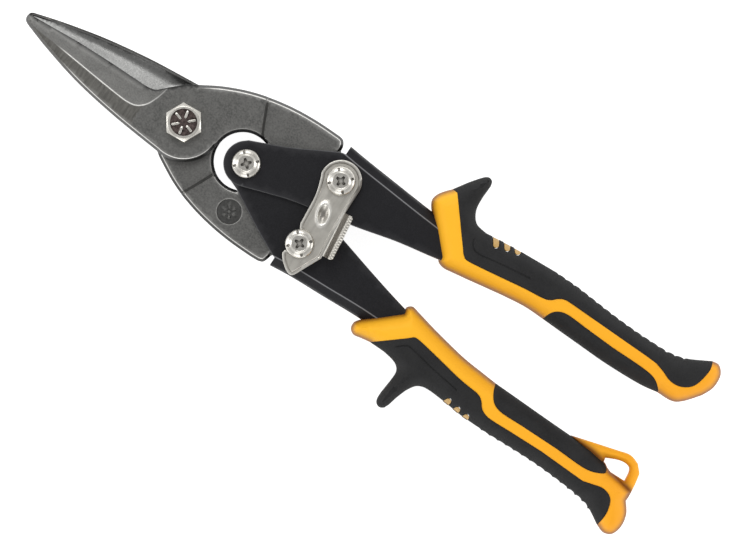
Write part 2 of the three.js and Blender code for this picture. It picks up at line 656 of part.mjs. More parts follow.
// An orange core is a sleeve round the steel with the orange bands on it, and it fills the channel. The two
// black panels wrap the sleeve from the grip's outer and inner rims, and the pills are core material that
// shows through the outer panel.
function addGrip(name, grip, { outline, outerEdge, inside, side }) {
  const pocketHalf = inside + SHEET + MOULD_GAP;
  const sleeveHalf = pocketHalf + CORE_WALL;
  const roomHalf = sleeveHalf + MOULD_GAP;
  const fillHalf = inside - MOULD_GAP;
  const fill = plate(insideWeb(outerEdge, side, MOULD_GAP), -fillHalf, fillHalf);
  const pocket = plate(offset(outline, MOULD_GAP), -pocketHalf, pocketHalf).subtract(fill);
  const behindCollar = line(...BEHIND_COLLAR.map(([x, y]) => [x, side * y]));
  const sleeve = plate(offset(outline, MOULD_GAP + CORE_WALL), -sleeveHalf, sleeveHalf)
    .intersect(plate(behindCollar, -sleeveHalf, sleeveHalf));
  const room = plate(offset(outline, 2 * MOULD_GAP + CORE_WALL), -roomHalf, roomHalf);
  const whole = loop(grip.rim, grip.palm, grip.tail, grip.back);
  const moulded = plate(whole, -PANEL_HALF, PANEL_HALF, GRIP_BEVEL);
  const region = (seam, shift, farY) => plate(beyondSeam(seam, shift, farY), -PANEL_HALF, PANEL_HALF);

  let core = plate(whole, -CORE_HALF, CORE_HALF, GRIP_BEVEL);
  if (side < 0) {
    core = core
      .add(plate(HANG_LOOP, -LOOP_HALF, LOOP_HALF))
      .subtract(plate(HANG_HOLE, -CUT_REACH, CUT_REACH));
  }
  core = core
    .subtract(region(grip.seam, 0, side * FAR))
    .subtract(region(grip.palmSeam, 0, -side * FAR))
    .add(sleeve);
  let outer = moulded.intersect(region(grip.seam, -side * MOULD_GAP, side * FAR)).subtract(room);
  const inner = moulded.intersect(region(grip.palmSeam, side * MOULD_GAP, -side * FAR)).subtract(room);

  const slim = plate(offset(whole, -MOULD_GAP), -CORE_HALF, CORE_HALF);
  const rootHalf = sleeveHalf - CORE_WALL;
  for (const pill of grip.pills) {
    const root = [pill[0], grip.pillRoot, pill[0], pill[1]];
    core = core
      .add(plate(slot(pill, PILL_R), -CORE_HALF, CORE_HALF).intersect(slim))
      .add(plate(slot(root, PILL_R - MOULD_GAP), -rootHalf, rootHalf));
    outer = outer
      .subtract(plate(slot(pill, PILL_R + MOULD_GAP), -PANEL_HALF, PANEL_HALF))
      .subtract(plate(slot(root, PILL_R), -rootHalf - MOULD_GAP, rootHalf + MOULD_GAP));
  }
  add(name + "_grip_core", core.subtract(pocket), GRIP_ORANGE);
  add(name + "_grip_outer_panel", outer, GRIP_BLACK);
  add(name + "_grip_inner_panel", inner, GRIP_BLACK);
}

// ---- assembly ----

add("front_blade", frontBlade(), BLADE_STEEL);
add("rear_blade", rearBlade(), BLADE_STEEL);
add("pivot_bolt", pivotBolt(), NICKEL);
add("pivot_washer", pivotWasher(), NICKEL);
add("pivot_nut", pivotNut(), NICKEL);

add("upper_handle", upperHandle(), HANDLE_BLACK);
add("lower_handle", lowerHandle(), HANDLE_BLACK);
add("fulcrum_screw", panScrew(FULCRUM, UPPER_OUTSIDE + STACK_GAP, SCREW_END), NICKEL);
add("fulcrum_nut", lockNut(FULCRUM, -UPPER_OUTSIDE - STACK_GAP), NICKEL);
add("fulcrum_sleeve", fulcrumSleeve(), NICKEL);
add("return_spring", returnSpring(), SPRING_STEEL);

add("upper_link_screw", panScrew(UPPER_LINK, LATCH_TOP + STACK_GAP, SCREW_END), NICKEL);
add("upper_link_nut", lockNut(UPPER_LINK, -UPPER_OUTSIDE - STACK_GAP), NICKEL);
add("lower_link_screw", panScrew(LOWER_LINK, LATCH_TOP + STACK_GAP, -LOWER_OUTSIDE - NUT_H - 0.3), NICKEL);
add("lower_link_nut", lockNut(LOWER_LINK, -LOWER_OUTSIDE - STACK_GAP), NICKEL);
add("latch", latch(), LATCH_NICKEL);
add("latch_washer", latchWasher(), NICKEL);

addGrip("upper", UPPER_GRIP, {
  outline: upperHandleOutline(),
  outerEdge: UPPER_OUTER_EDGE,
  inside: UPPER_INSIDE,
  side: 1,
});
addGrip("lower", LOWER_GRIP, {
  outline: lowerHandleOutline(),
  outerEdge: LOWER_OUTER_EDGE,
  inside: LOWER_INSIDE,
  side: -1,
});

export default snips;
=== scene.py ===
"""The visual model of the aviation snips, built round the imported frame.

Lengths are millimetres in the tool's own frame: X runs from the jaw tips to the grips, Y points to the upper
handle, and Z is up, counted from the shear plane where the two blades meet.
"""

import json
import math

import bpy
import numpy as np
from mathutils import Matrix, Vector
from mathutils.geometry import delaunay_2d_cdt


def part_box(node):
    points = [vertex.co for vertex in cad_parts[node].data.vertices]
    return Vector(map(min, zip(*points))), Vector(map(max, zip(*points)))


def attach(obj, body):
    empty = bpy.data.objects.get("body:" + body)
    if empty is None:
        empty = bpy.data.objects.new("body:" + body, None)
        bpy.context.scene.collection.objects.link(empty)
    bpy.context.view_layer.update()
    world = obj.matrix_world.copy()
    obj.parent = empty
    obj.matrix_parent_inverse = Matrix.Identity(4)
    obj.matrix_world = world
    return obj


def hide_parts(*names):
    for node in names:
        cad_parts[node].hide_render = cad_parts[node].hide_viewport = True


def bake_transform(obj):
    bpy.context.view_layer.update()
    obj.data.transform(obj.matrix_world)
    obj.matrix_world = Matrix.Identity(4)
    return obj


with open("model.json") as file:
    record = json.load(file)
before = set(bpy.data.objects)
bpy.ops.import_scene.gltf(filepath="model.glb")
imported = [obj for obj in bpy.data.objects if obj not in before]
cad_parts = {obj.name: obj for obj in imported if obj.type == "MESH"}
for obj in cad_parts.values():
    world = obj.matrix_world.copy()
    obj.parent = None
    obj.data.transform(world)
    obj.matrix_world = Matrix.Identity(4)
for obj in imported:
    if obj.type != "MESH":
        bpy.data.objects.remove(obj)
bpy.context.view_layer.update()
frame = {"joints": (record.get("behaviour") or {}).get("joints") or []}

# ---- places and levels, from the frame ----

MM = 0.001
JOINTS = {joint["name"]: np.array(joint["pos_m"]) / MM for joint in frame["joints"]}
SHEAR_Z = JOINTS["main_pivot"][2]
MAIN_PIVOT = JOINTS["main_pivot"][:2]
FULCRUM = JOINTS["handle_opening"][:2]
UPPER_LINK = JOINTS["front_link"][:2]
LOWER_LINK = UPPER_LINK * (1, -1)


def levels(node):
    """The lowest and highest level of a CAD node, from the shear plane."""
    low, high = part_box(node)
    return low.z / MM - SHEAR_Z, high.z / MM - SHEAR_Z


HUB_TOP = levels("front_blade")[1]
BOSS_HALF = -levels("front_blade")[0]
TANG_HALF = levels("rear_blade")[1]
UPPER_OUTSIDE = levels("upper_handle")[1]
LOWER_OUTSIDE = levels("lower_handle")[1]
SHEET = 1.7
BLADE_GAP = 0.1
TIP_TOP = 2.6
TIP_X = -62
TAPER_START_X = -14
HUB_R = 12.6
WINDOW_CENTRE = np.array([22.5, 0])
WINDOW_R = 9.4
BOSS_R = 6.6
NOSE_R = 7.4
SHANK_R = 2.2
BOLT_R = 3.2
RUNNING_GAP = 0.1
PIN_HOLE_R = SHANK_R + RUNNING_GAP
BOLT_HOLE_R = BOLT_R + RUNNING_GAP
PANEL_HALF = levels("upper_grip_outer_panel")[1]
CORE_HALF = levels("upper_grip_core")[1]

# ---- plane geometry ----


def run(*points):
    """A run of points, as rows of x and y."""
    return np.array(points, float)


def heading(degrees):
    """The unit vector at an angle."""
    turn = math.radians(degrees)
    return np.array([math.cos(turn), math.sin(turn)])


def turned(angle):
    """A matrix that turns rows of x and y anticlockwise."""
    return np.array([heading(angle), heading(angle + 90)])


def radii(points, centre=(0, 0)):
    """Each point's distance to a centre."""
    return np.linalg.norm(points - centre, axis=1)


def spline(*points, step=0.5):
    """A smooth run through the points, with a point about every step."""
    given = run(*points)
    padded = np.vstack([given[:1], given, given[-1:]])
    parts = []
    for a, b, c, d in zip(padded, padded[1:], padded[2:], padded[3:]):
        count = max(2, math.ceil(np.linalg.norm(c - b) / step))
        t = np.linspace(0, 1, count, endpoint=False)[:, None]
        leave = (c - a) / 2
        arrive = (d - b) / 2
        cubic = 2 * b - 2 * c + leave + arrive
        square = -3 * b + 3 * c - 2 * leave - arrive
        parts.append(cubic * t**3 + square * t**2 + leave * t + b)
    return np.vstack([*parts, given[-1:]])


def arc(centre, radius, start, end, step=0.5):
    """Points round a centre, from one angle to another in degrees, either way round."""
    count = max(3, math.ceil(abs(math.radians(end - start)) * radius / step))
    angles = np.radians(np.linspace(start, end, count + 1))
    return np.array(centre) + radius * np.column_stack([np.cos(angles), np.sin(angles)])


def circle(centre, radius, step=0.5):
    return arc(centre, radius, 0, 360, step)[:-1]


def slot(x0, y0, x1, y1, radius):
    """A slot with round ends."""
    lean = math.degrees(math.atan2(y1 - y0, x1 - x0))
    first = arc((x0, y0), radius, lean + 90, lean + 270, 0.3)
    return loop(first, arc((x1, y1), radius, lean - 90, lean + 90, 0.3), step=0.3)


def finer(points, step, closed=True):
    """The same run with points added, so that no stretch is longer than step."""
    following = np.roll(points, -1, 0) if closed else points[1:]
    parts = []
    for p, q in zip(points, following):
        count = max(1, math.ceil(np.linalg.norm(q - p) / step - 1e-6))
        parts.append(p + (q - p) * np.arange(count)[:, None] / count)
    return np.vstack(parts if closed else [*parts, points[-1:]])


def chain(*runs):
    """Joins runs end to end, without repeating a point that two of them share."""
    points = np.vstack(runs)
    gaps = np.linalg.norm(np.diff(points, axis=0), axis=1)
    return points[np.concatenate([[True], gaps > 0.02])]


def loop(*runs, step=0.5):
    """Joins runs into one closed outline."""
    points = chain(*runs)
    if np.linalg.norm(points[0] - points[-1]) < 0.02:
        points = points[:-1]
    return finer(points, step)


def sideways(points, closed=True):
    """The unit vectors square to a run at its points. They point outwards on an anticlockwise outline."""
    before = np.roll(points, 1, 0)
    after = np.roll(points, -1, 0)
    if not closed:
        before[0] = 2 * points[0] - points[1]
        after[-1] = 2 * points[-1] - points[-2]
    inwards = (points - before) / np.linalg.norm(points - before, axis=1)[:, None]
    onwards = (after - points) / np.linalg.norm(after - points, axis=1)[:, None]
    along = inwards + onwards
    along /= np.linalg.norm(along, axis=1)[:, None] + 1e-9
    return np.column_stack([along[:, 1], -along[:, 0]])


def offset(points, distance, closed=True):
    return points + sideways(points, closed) * distance


def reach(points, outline, closed=True):
    """Each point's distance to a run."""
    start = outline if closed else outline[:-1]
    way = (np.roll(outline, -1, 0) if closed else outline[1:]) - start
    square = (way**2).sum(1) + 1e-12
    parts = [np.zeros(0)]
    for block in range(0, len(points), 3000):
        p = points[block : block + 3000, None]
        t = np.clip(((p - start) * way).sum(2) / square, 0, 1)
        parts.append(((p - start - t[..., None] * way) ** 2).sum(2).min(1))
    return np.sqrt(np.concatenate(parts))


def to_lines(points, *lines):
    """Each point's distance to the nearest of some open runs."""
    return np.min([reach(points, line, closed=False) for line in lines], 0)


def inside(points, outline):
    """True for each point that lies in a closed outline."""
    x, y = points[:, :1], points[:, 1:]
    x0, y0 = outline.T
    x1, y1 = np.roll(outline, -1, 0).T
    level = np.where(y1 == y0, 1e-12, y1 - y0)
    crossed = ((y0 > y) != (y1 > y)) & (x < x0 + (y - y0) * (x1 - x0) / level)
    return crossed.sum(1) % 2 == 1


def within(outline, *holes):
    """A test for points in an outline and in none of its holes."""
    def test(points):
        return inside(points, outline) & ~np.any([inside(points, hole) for hole in holes] or [[False]], 0)
    return test


def signed(points, outline):
    """Each point's distance to a closed outline, positive inside it."""
    return np.where(inside(points, outline), 1, -1) * reach(points, outline)


# ---- profiles: how far a surface falls, as a function of the distance from an edge ----


def fillet(distance, radius):
    """The fall of a rounded edge, which meets the side wall squarely."""
    left = radius - np.clip(distance, 0, radius)
    return radius - np.sqrt(radius**2 - left**2 + 1e-9)


def ramp(distance, width, softness=0.1):
    """Rises one for one from a width down to the edge, with a rounded start."""
    return softness * np.log1p(np.exp(np.clip((width - distance) / softness, -50, 50)))


def ease(value):
    """A smooth step from 0 to 1."""
    t = np.clip(value, 0, 1)
    return t * t * (3 - 2 * t)


def bell(value, width):
    """A smooth peak, 1 where the value is 0."""
    return np.exp(-((value / width) ** 2))


def round_rings(radius, count=5):
    """Distances from an edge at which a fillet needs points."""
    return [radius * (1 - math.cos(math.pi / 2 * i / count)) for i in range(1, count + 1)]


# ---- meshes ----


def flat_mesh(runs, loose, keep):
    """Triangles over a flat region. Each run becomes edges, and keep says which triangles stay."""
    points = []
    links = []
    for points_in_run, closed in runs:
        first = len(points)
        count = len(points_in_run)
        points += [Vector(p) for p in points_in_run]
        links += [(first + i, first + (i + 1) % count) for i in range(count if closed else count - 1)]
    points += [Vector(p) for p in loose]
    found = delaunay_2d_cdt(points, links, [], 0, 1e-5)
    flat = np.array([p[:] for p in found[0]])
    triangles = np.array(found[2])
    a, b, c = (flat[triangles[:, i]] for i in range(3))
    turn = (b[:, 0] - a[:, 0]) * (c[:, 1] - a[:, 1]) - (b[:, 1] - a[:, 1]) * (c[:, 0] - a[:, 0])
    triangles[turn < 0] = triangles[turn < 0][:, ::-1]
    triangles = triangles[(abs(turn) > 1e-9) & keep((a + b + c) / 3)]
    used, triangles = np.unique(triangles, return_inverse=True)
    return flat[used], triangles.reshape(-1, 3)


def rim_of(triangles):
    """The edges that only one triangle has."""
    edges = np.vstack([triangles[:, [0, 1]], triangles[:, [1, 2]], triangles[:, [2, 0]]])
    _, first, count = np.unique(np.sort(edges, 1), axis=0, return_index=True, return_counts=True)
    return edges[first[count == 1]]


def slab(outlines, top, bottom=None, keep=None, rings=(), creases=(), grid=1.2):
    """A closed solid between two height functions, over the region that outlines bound.

    Without a bottom, the top's mirror image in the shear plane serves. rings lists (run, closed, distances):
    points are added along the run at those distances, to carry an edge's shape. creases are open runs that
    become edges. Returns vertices and faces.
    """
    keep = keep or within(outlines[0], *outlines[1:])
    edges = [(outline, True) for outline in outlines] + [(crease, False) for crease in creases]
    loose = []
    spread = []
    for source, closed, distances in rings:
        for distance in distances:
            for side in (-distance, distance):
                candidates = offset(source, side, closed)
                clear = reach(candidates, source, closed) > distance * 0.97 - 1e-4
                loose.append(candidates[clear & keep(candidates)])
        spread.append((source, closed, max(distances) + 0.35 * grid))
    spread += [(source, closed, 0.3 * grid) for source, closed in edges]
    low = outlines[0].min(0)
    high = outlines[0].max(0)
    x, y = np.meshgrid(np.arange(low[0], high[0], grid), np.arange(low[1], high[1], grid * 0.866))
    x = x + np.where(np.arange(len(x)) % 2, grid / 2, 0)[:, None]
    lattice = np.column_stack([x.ravel(), y.ravel()])
    lattice = lattice[keep(lattice)]
    for source, closed, clearance in spread:
        lattice = lattice[reach(lattice, source, closed) > clearance]
    loose = np.vstack([*loose, lattice])
    for source, closed in edges:
        loose = loose[reach(loose, source, closed) > 0.012]
    flat, triangles = flat_mesh(edges, loose, keep)
    count = len(flat)
    rim = rim_of(triangles)
    walls = np.column_stack([rim[:, 0] + count, rim[:, 1] + count, rim[:, 1], rim[:, 0]])
    under = bottom(flat) if bottom else -top(flat)
    vertices = np.vstack([np.column_stack([flat, top(flat)]), np.column_stack([flat, under])])
    faces = [*triangles.tolist(), *(triangles[:, ::-1] + count).tolist(), *walls.tolist()]
    return vertices, faces


def skin(rings, sides):
    """Faces over a row of rings of vertices, with both ends closed."""
    faces = []
    for ring in range(rings - 1):
        for i in range(sides):
            a = ring * sides + i
            b = ring * sides + (i + 1) % sides
            faces.append([a, b, b + sides, a + sides])
    faces.append(list(range(sides))[::-1])
    faces.append([(rings - 1) * sides + i for i in range(sides)])
    return faces


def joined(*solids):
    """Several closed solids as one list of vertices and faces."""
    vertices = []
    faces = []
    for more_vertices, more_faces in solids:
        first = sum(len(v) for v in vertices)
        vertices.append(more_vertices)
        faces += [[i + first for i in face] for face in more_faces]
    return np.vstack(vertices), faces


def mirrored_halves(vertices, faces):
    """Closes the upper half of a solid with its mirror image in the shear plane, without the faces in it."""
    on_plane = abs(vertices[:, 2]) < 1e-6
    kept = [face for face in faces if not all(on_plane[i] for i in face)]
    count = len(vertices)
    twin = np.where(on_plane, np.arange(count), np.arange(count) + count)
    both = np.vstack([vertices, vertices * (1, 1, -1)])
    all_faces = kept + [[int(twin[i]) for i in reversed(face)] for face in kept]
    used = sorted({i for face in all_faces for i in face})
    place = {old: new for new, old in enumerate(used)}
    return both[used], [[place[i] for i in face] for face in all_faces]


def in_scene(name, data):
    """Puts a new object into the scene."""
    made = bpy.data.objects.new(name, data)
    bpy.context.scene.collection.objects.link(made)
    return made


def shaped(name, solid, materials, sharp):
    """An object with smooth faces, whose edges are sharp from an angle in degrees."""
    vertices, faces = solid
    mesh = bpy.data.meshes.new(name)
    mesh.from_pydata((vertices * MM + (0, 0, SHEAR_Z * MM)).tolist(), [], faces)
    for material in materials:
        mesh.materials.append(material)
    mesh.polygons.foreach_set("use_smooth", [True] * len(faces))
    mesh.set_sharp_from_angle(angle=math.radians(sharp))
    return in_scene(name, mesh)


def piece(name, solid, materials, node, body, slot, paint=None, sharp=38, **marks):
    """Makes an object that stands for a CAD node.

    paint gives each face's material from its centre. marks are functions of the vertices, stored on the
    mesh: wear paints highlights onto the surface, and shade paints shade onto it.
    """
    vertices, faces = solid
    made = shaped(name, solid, materials, sharp)
    mesh = made.data
    if paint:
        centres = np.array([np.mean(vertices[face], 0) for face in faces])
        mesh.polygons.foreach_set("material_index", paint(centres).astype(np.int32))
    for mark, strength in marks.items():
        attribute = mesh.attributes.new(mark, "FLOAT", "POINT")
        attribute.data.foreach_set("value", strength(vertices).astype(np.float32))
    mesh.validate()
    weighted = made.modifiers.new("weighted normals", "WEIGHTED_NORMAL")
    weighted.keep_sharp = True
    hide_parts(node)
    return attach(made, body)


# ---- materials ----


def material(name, colour, roughness, metallic, specular=0.5):
    """A Principled material with its fixed values on its own sockets, and its shader."""
    made = bpy.data.materials.new(name)
    made.use_nodes = True
    made.diffuse_color = (*colour, 1)
    shader = made.node_tree.nodes["Principled BSDF"]
    shader.inputs["Base Color"].default_value = (*colour, 1)
    shader.inputs["Roughness"].default_value = roughness
    shader.inputs["Metallic"].default_value = metallic
    shader.inputs["Specular IOR Level"].default_value = specular
    return made, shader


def node(made, kind, values=None, **settings):
    """Adds a shader node. values fills its inputs, by name or number."""
    added = made.node_tree.nodes.new("ShaderNode" + kind)
    for key, value in settings.items():
        setattr(added, key, value)
    for key, value in (values or {}).items():
        if isinstance(value, bpy.types.NodeSocket):
            made.node_tree.links.new(value, added.inputs[key])
        else:
            added.inputs[key].default_value = value
    return added


def link(made, source, target):
    made.node_tree.links.new(source, target)


def place_of(made, stretch=(1, 1, 1)):
    """Coordinates in the piece's own frame, stretched for a grain with a direction."""
    coordinates = node(made, "TexCoord")
    return node(made, "Mapping", {"Vector": coordinates.outputs["Object"], "Scale": stretch}).outputs[0]


def noise(made, scale, detail=2.0, stretch=(1, 1, 1)):
    values = {"Vector": place_of(made, stretch), "Scale": scale, "Detail": detail}
    return node(made, "TexNoise", values).outputs["Fac"]


def remap(made, value, low, high, from_low=0.3, from_high=0.7):
    """Spreads a noise value over a range."""
    values = {"Value": value, "From Min": from_low, "From Max": from_high, "To Min": low, "To Max": high}
    return node(made, "MapRange", values).outputs[0]


def mixed(made, share, first, second):
    """A colour between two, by a share from 0 to 1."""
    blend = node(made, "Mix", {"Factor": share}, data_type="RGBA")
    for index, colour in ((6, first), (7, second)):
        if isinstance(colour, bpy.types.NodeSocket):
            link(made, colour, blend.inputs[index])
        else:
            blend.inputs[index].default_value = (*colour, 1)
    return blend.outputs[2]


def bumps(made, shader, *layers):
    """Adds bump layers, each (height socket, depth in millimetres, strength)."""
    normal = None
    for height, depth, strength in layers:
        values = {"Height": height, "Distance": depth * MM, "Strength": strength}
        if normal:
            values["Normal"] = normal
        normal = node(made, "Bump", values).outputs[0]
    link(made, normal, shader.inputs["Normal"])


def surface(name, *fixed, grains, colours, rough=None, relief=(), drift=None):
    """A material whose fixed values are varied by grains: named noises, as (scale, detail, stretch).

    colours lie over each other. The first is plain, and the others are (grain, greatest share, colour), or
    (mark, colour) for the painted highlight and painted shade that are stored on the mesh. drift is a colour
    that the first one turns into along the tool, and the places in metres where it starts and ends. rough is
    (grain, lowest, highest). relief lists (grain, depth in millimetres, strength).
    """
    made, shader = material(name, *fixed)
    found = {key: noise(made, *values) for key, values in grains.items()}
    colour, *layers = colours
    if drift:
        along = node(made, "SeparateXYZ", {"Vector": place_of(made)}).outputs["X"]
        colour = mixed(made, remap(made, along, 0, 1, *drift[1:]), colour, drift[0])
    for source, *share, over in layers:
        if source in found:
            factor = remap(made, found[source], 0, *share)
        else:
            factor = node(made, "Attribute", attribute_name=source).outputs["Fac"]
        colour = mixed(made, factor, colour, over)
    link(made, colour, shader.inputs["Base Color"])
    if rough:
        grain, lowest, highest = rough
        link(made, remap(made, found[grain], lowest, highest), shader.inputs["Roughness"])
    bumps(made, shader, *[(found[grain], depth, strength) for grain, depth, strength in relief])
    return made


# Steel colours for the painted highlight along edges and the painted shade on bands, creases and under
# edges.
HIGHLIGHT_STEEL = (0.9, 0.89, 0.86)
PAINTED_SHADE_STEEL = (0.035, 0.035, 0.035)


def ground_steel(name, stretch, dark, light, line_depth, roughness):
    """Ground steel, with painted highlight and painted shade from the marks. stretch draws the grinding
    marks out into lines.
    """
    return surface(
        name, light, 0.36, 1.0,
        grains={"lines": (1500, 3, stretch), "grain": (2300, 2)},
        colours=[dark, ("lines", 1, light), ("wear", HIGHLIGHT_STEEL), ("shade", PAINTED_SHADE_STEEL)],
        rough=("grain", roughness - 0.06, roughness + 0.06),
        relief=[("lines", line_depth, 0.4), ("grain", 0.02, 0.35)],
    )


# Forged steel, blasted grey, with a fine grain, painted highlights along its edges and painted shade on its
# drafted bands.
BLASTED = surface(
    "blasted steel", (0.17, 0.17, 0.165), 0.42, 1.0,
    grains={"patches": (140, 3), "grain": (1900, 2)},
    colours=[
        (0.108, 0.108, 0.104), ("patches", 1, (0.152, 0.151, 0.145)), ("grain", 0.5, (0.25, 0.247, 0.237)),
        ("wear", HIGHLIGHT_STEEL), ("shade", PAINTED_SHADE_STEEL),
    ],
    rough=("grain", 0.36, 0.52), relief=[("grain", 0.035, 0.55), ("patches", 0.12, 0.3)],
)
# Ground steel outside the ridge, and hollow-ground steel on the jaws' inner faces.
GROUND = ground_steel("ground steel", (1, 0.15, 1), (0.11, 0.107, 0.099), (0.18, 0.175, 0.162), 0.012, 0.4)
HOLLOW = ground_steel(
    "hollow-ground steel", (1, 0.7, 1), (0.2, 0.2, 0.196), (0.255, 0.255, 0.249), 0.006, 0.32,
)
# Painted shade: near-black on the wall of the window between the tangs, which faces sideways and stays dark.
WINDOW_WALL_SHADE = surface(
    "painted window wall shade", (0.02, 0.02, 0.022), 0.5, 0.2, 0.3, grains={"grain": (1700, 2)},
    colours=[(0.012, 0.012, 0.014), ("grain", 1, (0.04, 0.04, 0.04))], relief=[("grain", 0.03, 0.4)],
)
# Satin black coating on folded sheet, with a slight orange peel and a painted highlight along the fold line
# and the cheeks' rims.
PAINT = surface(
    "satin black", (0.011, 0.011, 0.0125), 0.38, 0.0, 0.2, grains={"peel": (420, 2), "dust": (2600, 2)},
    colours=[(0.008, 0.008, 0.0095), ("dust", 1, (0.0145, 0.0145, 0.017)), ("wear", (0.26, 0.26, 0.27))],
    rough=("peel", 0.34, 0.46), relief=[("peel", 0.03, 0.3), ("dust", 0.008, 0.3)],
)
# Bright plating with faint turning marks and handling scratches, and painted shade on the screw heads.
NICKEL = surface(
    "bright nickel", (0.78, 0.75, 0.7), 0.24, 1.0,
    grains={"patches": (500, 3), "scratches": (1500, 4, (1, 0.15, 1))},
    colours=[(0.62, 0.595, 0.545), ("patches", 1, (0.76, 0.74, 0.69)), ("shade", (0.05, 0.045, 0.04))],
    rough=("scratches", 0.2, 0.34), relief=[("patches", 0.02, 0.25), ("scratches", 0.008, 0.25)],
)
# Pressed plate with a satin nickel finish and brushing along the latch, painted highlights on its rims, bead
# and dimple lip, and painted shade on the tab's steep face, the groove and the dimple.
SATIN = surface(
    "satin nickel", (0.66, 0.64, 0.59), 0.34, 1.0,
    grains={"brushing": (1100, 3, (1, 0.06, 1)), "patches": (260, 3), "pits": (1500, 2)},
    colours=[
        (0.5, 0.48, 0.435), ("patches", 1, (0.61, 0.59, 0.54)), ("wear", (0.95, 0.93, 0.88)),
        ("shade", (0.09, 0.075, 0.065)),
    ],
    rough=("brushing", 0.27, 0.43), relief=[("brushing", 0.012, 0.4), ("pits", 0.02, 0.4)],
)
# The rough dark floor of the bolt head's dish.
GRANULAR = surface(
    "granular dark", (0.05, 0.042, 0.04), 0.6, 0.4, 0.3, grains={"grain": (1500, 2)},
    colours=[(0.022, 0.015, 0.014), ("grain", 1, (0.12, 0.088, 0.082))], relief=[("grain", 0.12, 0.8)],
)
# Spring wire with drawing lines.
WIRE = surface(
    "drawn wire", (0.5, 0.5, 0.5), 0.3, 1.0, grains={"lines": (1600, 2, (0.2, 1, 1))},
    colours=[(0.42, 0.42, 0.42), ("lines", 1, (0.58, 0.58, 0.57))],
    rough=("lines", 0.24, 0.38), relief=[("lines", 0.01, 0.3)],
)
# The cores' paler plastic, where it shows through the panels as pills.
TAN = surface(
    "pale tan plastic", (0.53, 0.33, 0.11), 0.5, 0.0, 0.2, grains={"texture": (1300, 2)},
    colours=[(0.49, 0.305, 0.1), ("texture", 1, (0.575, 0.36, 0.123))],
    rough=("texture", 0.44, 0.56), relief=[("texture", 0.015, 0.4)],
)
# Moulded orange plastic with a fine satin texture, a little deeper towards the grips' ends, and painted
# shade round the grips' rims.
ORANGE = surface(
    "orange plastic", (0.98, 0.44, 0.03), 0.5, 0.0, 0.16, grains={"texture": (2600, 2), "patches": (60, 2)},
    colours=[(1.0, 0.5, 0.024), ("patches", 0.1, (0.8, 0.3, 0.015)), ("shade", (0.2, 0.06, 0.008))],
    drift=((1.0, 0.42, 0.02), 0.09, 0.19),
    rough=("texture", 0.44, 0.56), relief=[("texture", 0.012, 0.35)],
)
# Soft black overmoulding with a fine matt grain, and painted shade round the grips' rims.
RUBBER = surface(
    "black rubber", (0.03, 0.03, 0.031), 0.72, 0.0, 0.12, grains={"grain": (2100, 3), "patches": (170, 3)},
    colours=[
        (0.016, 0.016, 0.0165), ("patches", 1, (0.024, 0.024, 0.0245)), ("grain", 0.4, (0.04, 0.04, 0.041)),
        ("shade", (0.006, 0.006, 0.006)),
    ],
    rough=("grain", 0.62, 0.8), relief=[("grain", 0.05, 0.5)],
)

# ---- blades ----

BAND = 0.95  # width of the drafted edge that the forging die leaves
BAND_FALL = 2.2
JOGGLE = 0.9
RIDGE = spline(
    [-63, -0.4], [-50, -1.5], [-44, -2.05], [-36, -2.9], [-30, -3.55], [-22, -4.3], [-18.6, -4.4],
    [-16, -3.9], [-14, -2.5], [-12.7, -0.8], [-11.8, 1.2], [-11, 3.6], [-10.4, 6.5],
)
BEVEL_SLOPE = 0.1
BEVEL_DEPTH = 2
BEVEL_END_X = -8
FRONT_CREASE = (np.array([22.4, 11]), 24.5)
REAR_CREASE = (np.array([16, -9.5]), -25.2)
SCOOP_DEPTH = 1.45
SCOOP_END_X = -1
CONTACT_R = 9.6  # the flat faces that bear on each other round the pivot
CUTTING_X = [-61.1, -50, -36, -20, -8]
CUTTING_Y = [1.4, 0.3, -0.2, -0.4, -0.4]
SPINE_X = [-61.1, -50, -36, -20, -2.5]
SPINE_Y = [1.7, 5.7, 8.8, 11.2, 12.75]
FLIP = np.array([1, -1])
EDGE_R = 0.25  # rounding of the edges that aren't drafted
BAND_SHADE = 0.7
EDGE_SHADE = 0.92
EDGE_SHADE_WIDTH = 0.55
CREASE_SHADE = 0.2
WINDOW_SHADE_REACH = 0.72  # how far the painted shade of the window's wall runs onto the faces

FRONT_SPINE = chain(
    spline([-61.1, 1.4], [-61.2, 0.8], [-61, 0], [-60.4, -0.8], [-59.2, -1.4]),
    spline([-59.2, -1.4], [-50, -4.4], [-36, -8.05], [-20, -10.6], [-2.5, -12.35]),
)
FRONT_HUB = arc(MAIN_PIVOT, HUB_R, -98, -3)
FRONT_WINDOW = arc(WINDOW_CENTRE, WINDOW_R, 183, 70)
FRONT_END = chain(run([47.6, 7]), arc(UPPER_LINK, BOSS_R, -130, 50), run([52, 18.6], [47.7, 19.3]))
FRONT_BACK = chain(
    spline([47, 20.2], [46.7, 22], [45.6, 23.5], [44, 23.9]),
    spline([44, 23.9], [36, 24], [28, 23.5], [20, 22.2], [12, 20], [4, 16.6], [-2.5, 12.9]),
)
FRONT_THROAT = spline([-2.5, 12.9], [-6, 10.6], [-10, 7], [-13.5, 3.8], [-17, 3.1])
FRONT_EDGE = run([-17, 3.1], [-30, 3.2], [-42, 3], [-58, 2], [-60.8, 1.8])
REAR_EDGE = run([-61.1, 1.4], [-60.6, 0.9], [-50, 0.3], [-36, -0.2], [-20, -0.4], [-16.5, -0.8])
REAR_THROAT = spline([-16.5, -0.8], [-14, -2.2], [-11, -5.2], [-7, -9.4], [-2, -12.6])
REAR_BACK = chain(
    spline([-2, -12.6], [0, -14], [8, -18.2], [16, -21], [24, -22.8], [32, -23.8], [40, -24.1], [44, -24]),
    spline([44, -24], [45.6, -23.4], [46.3, -22], [46.7, -20.4]),
)
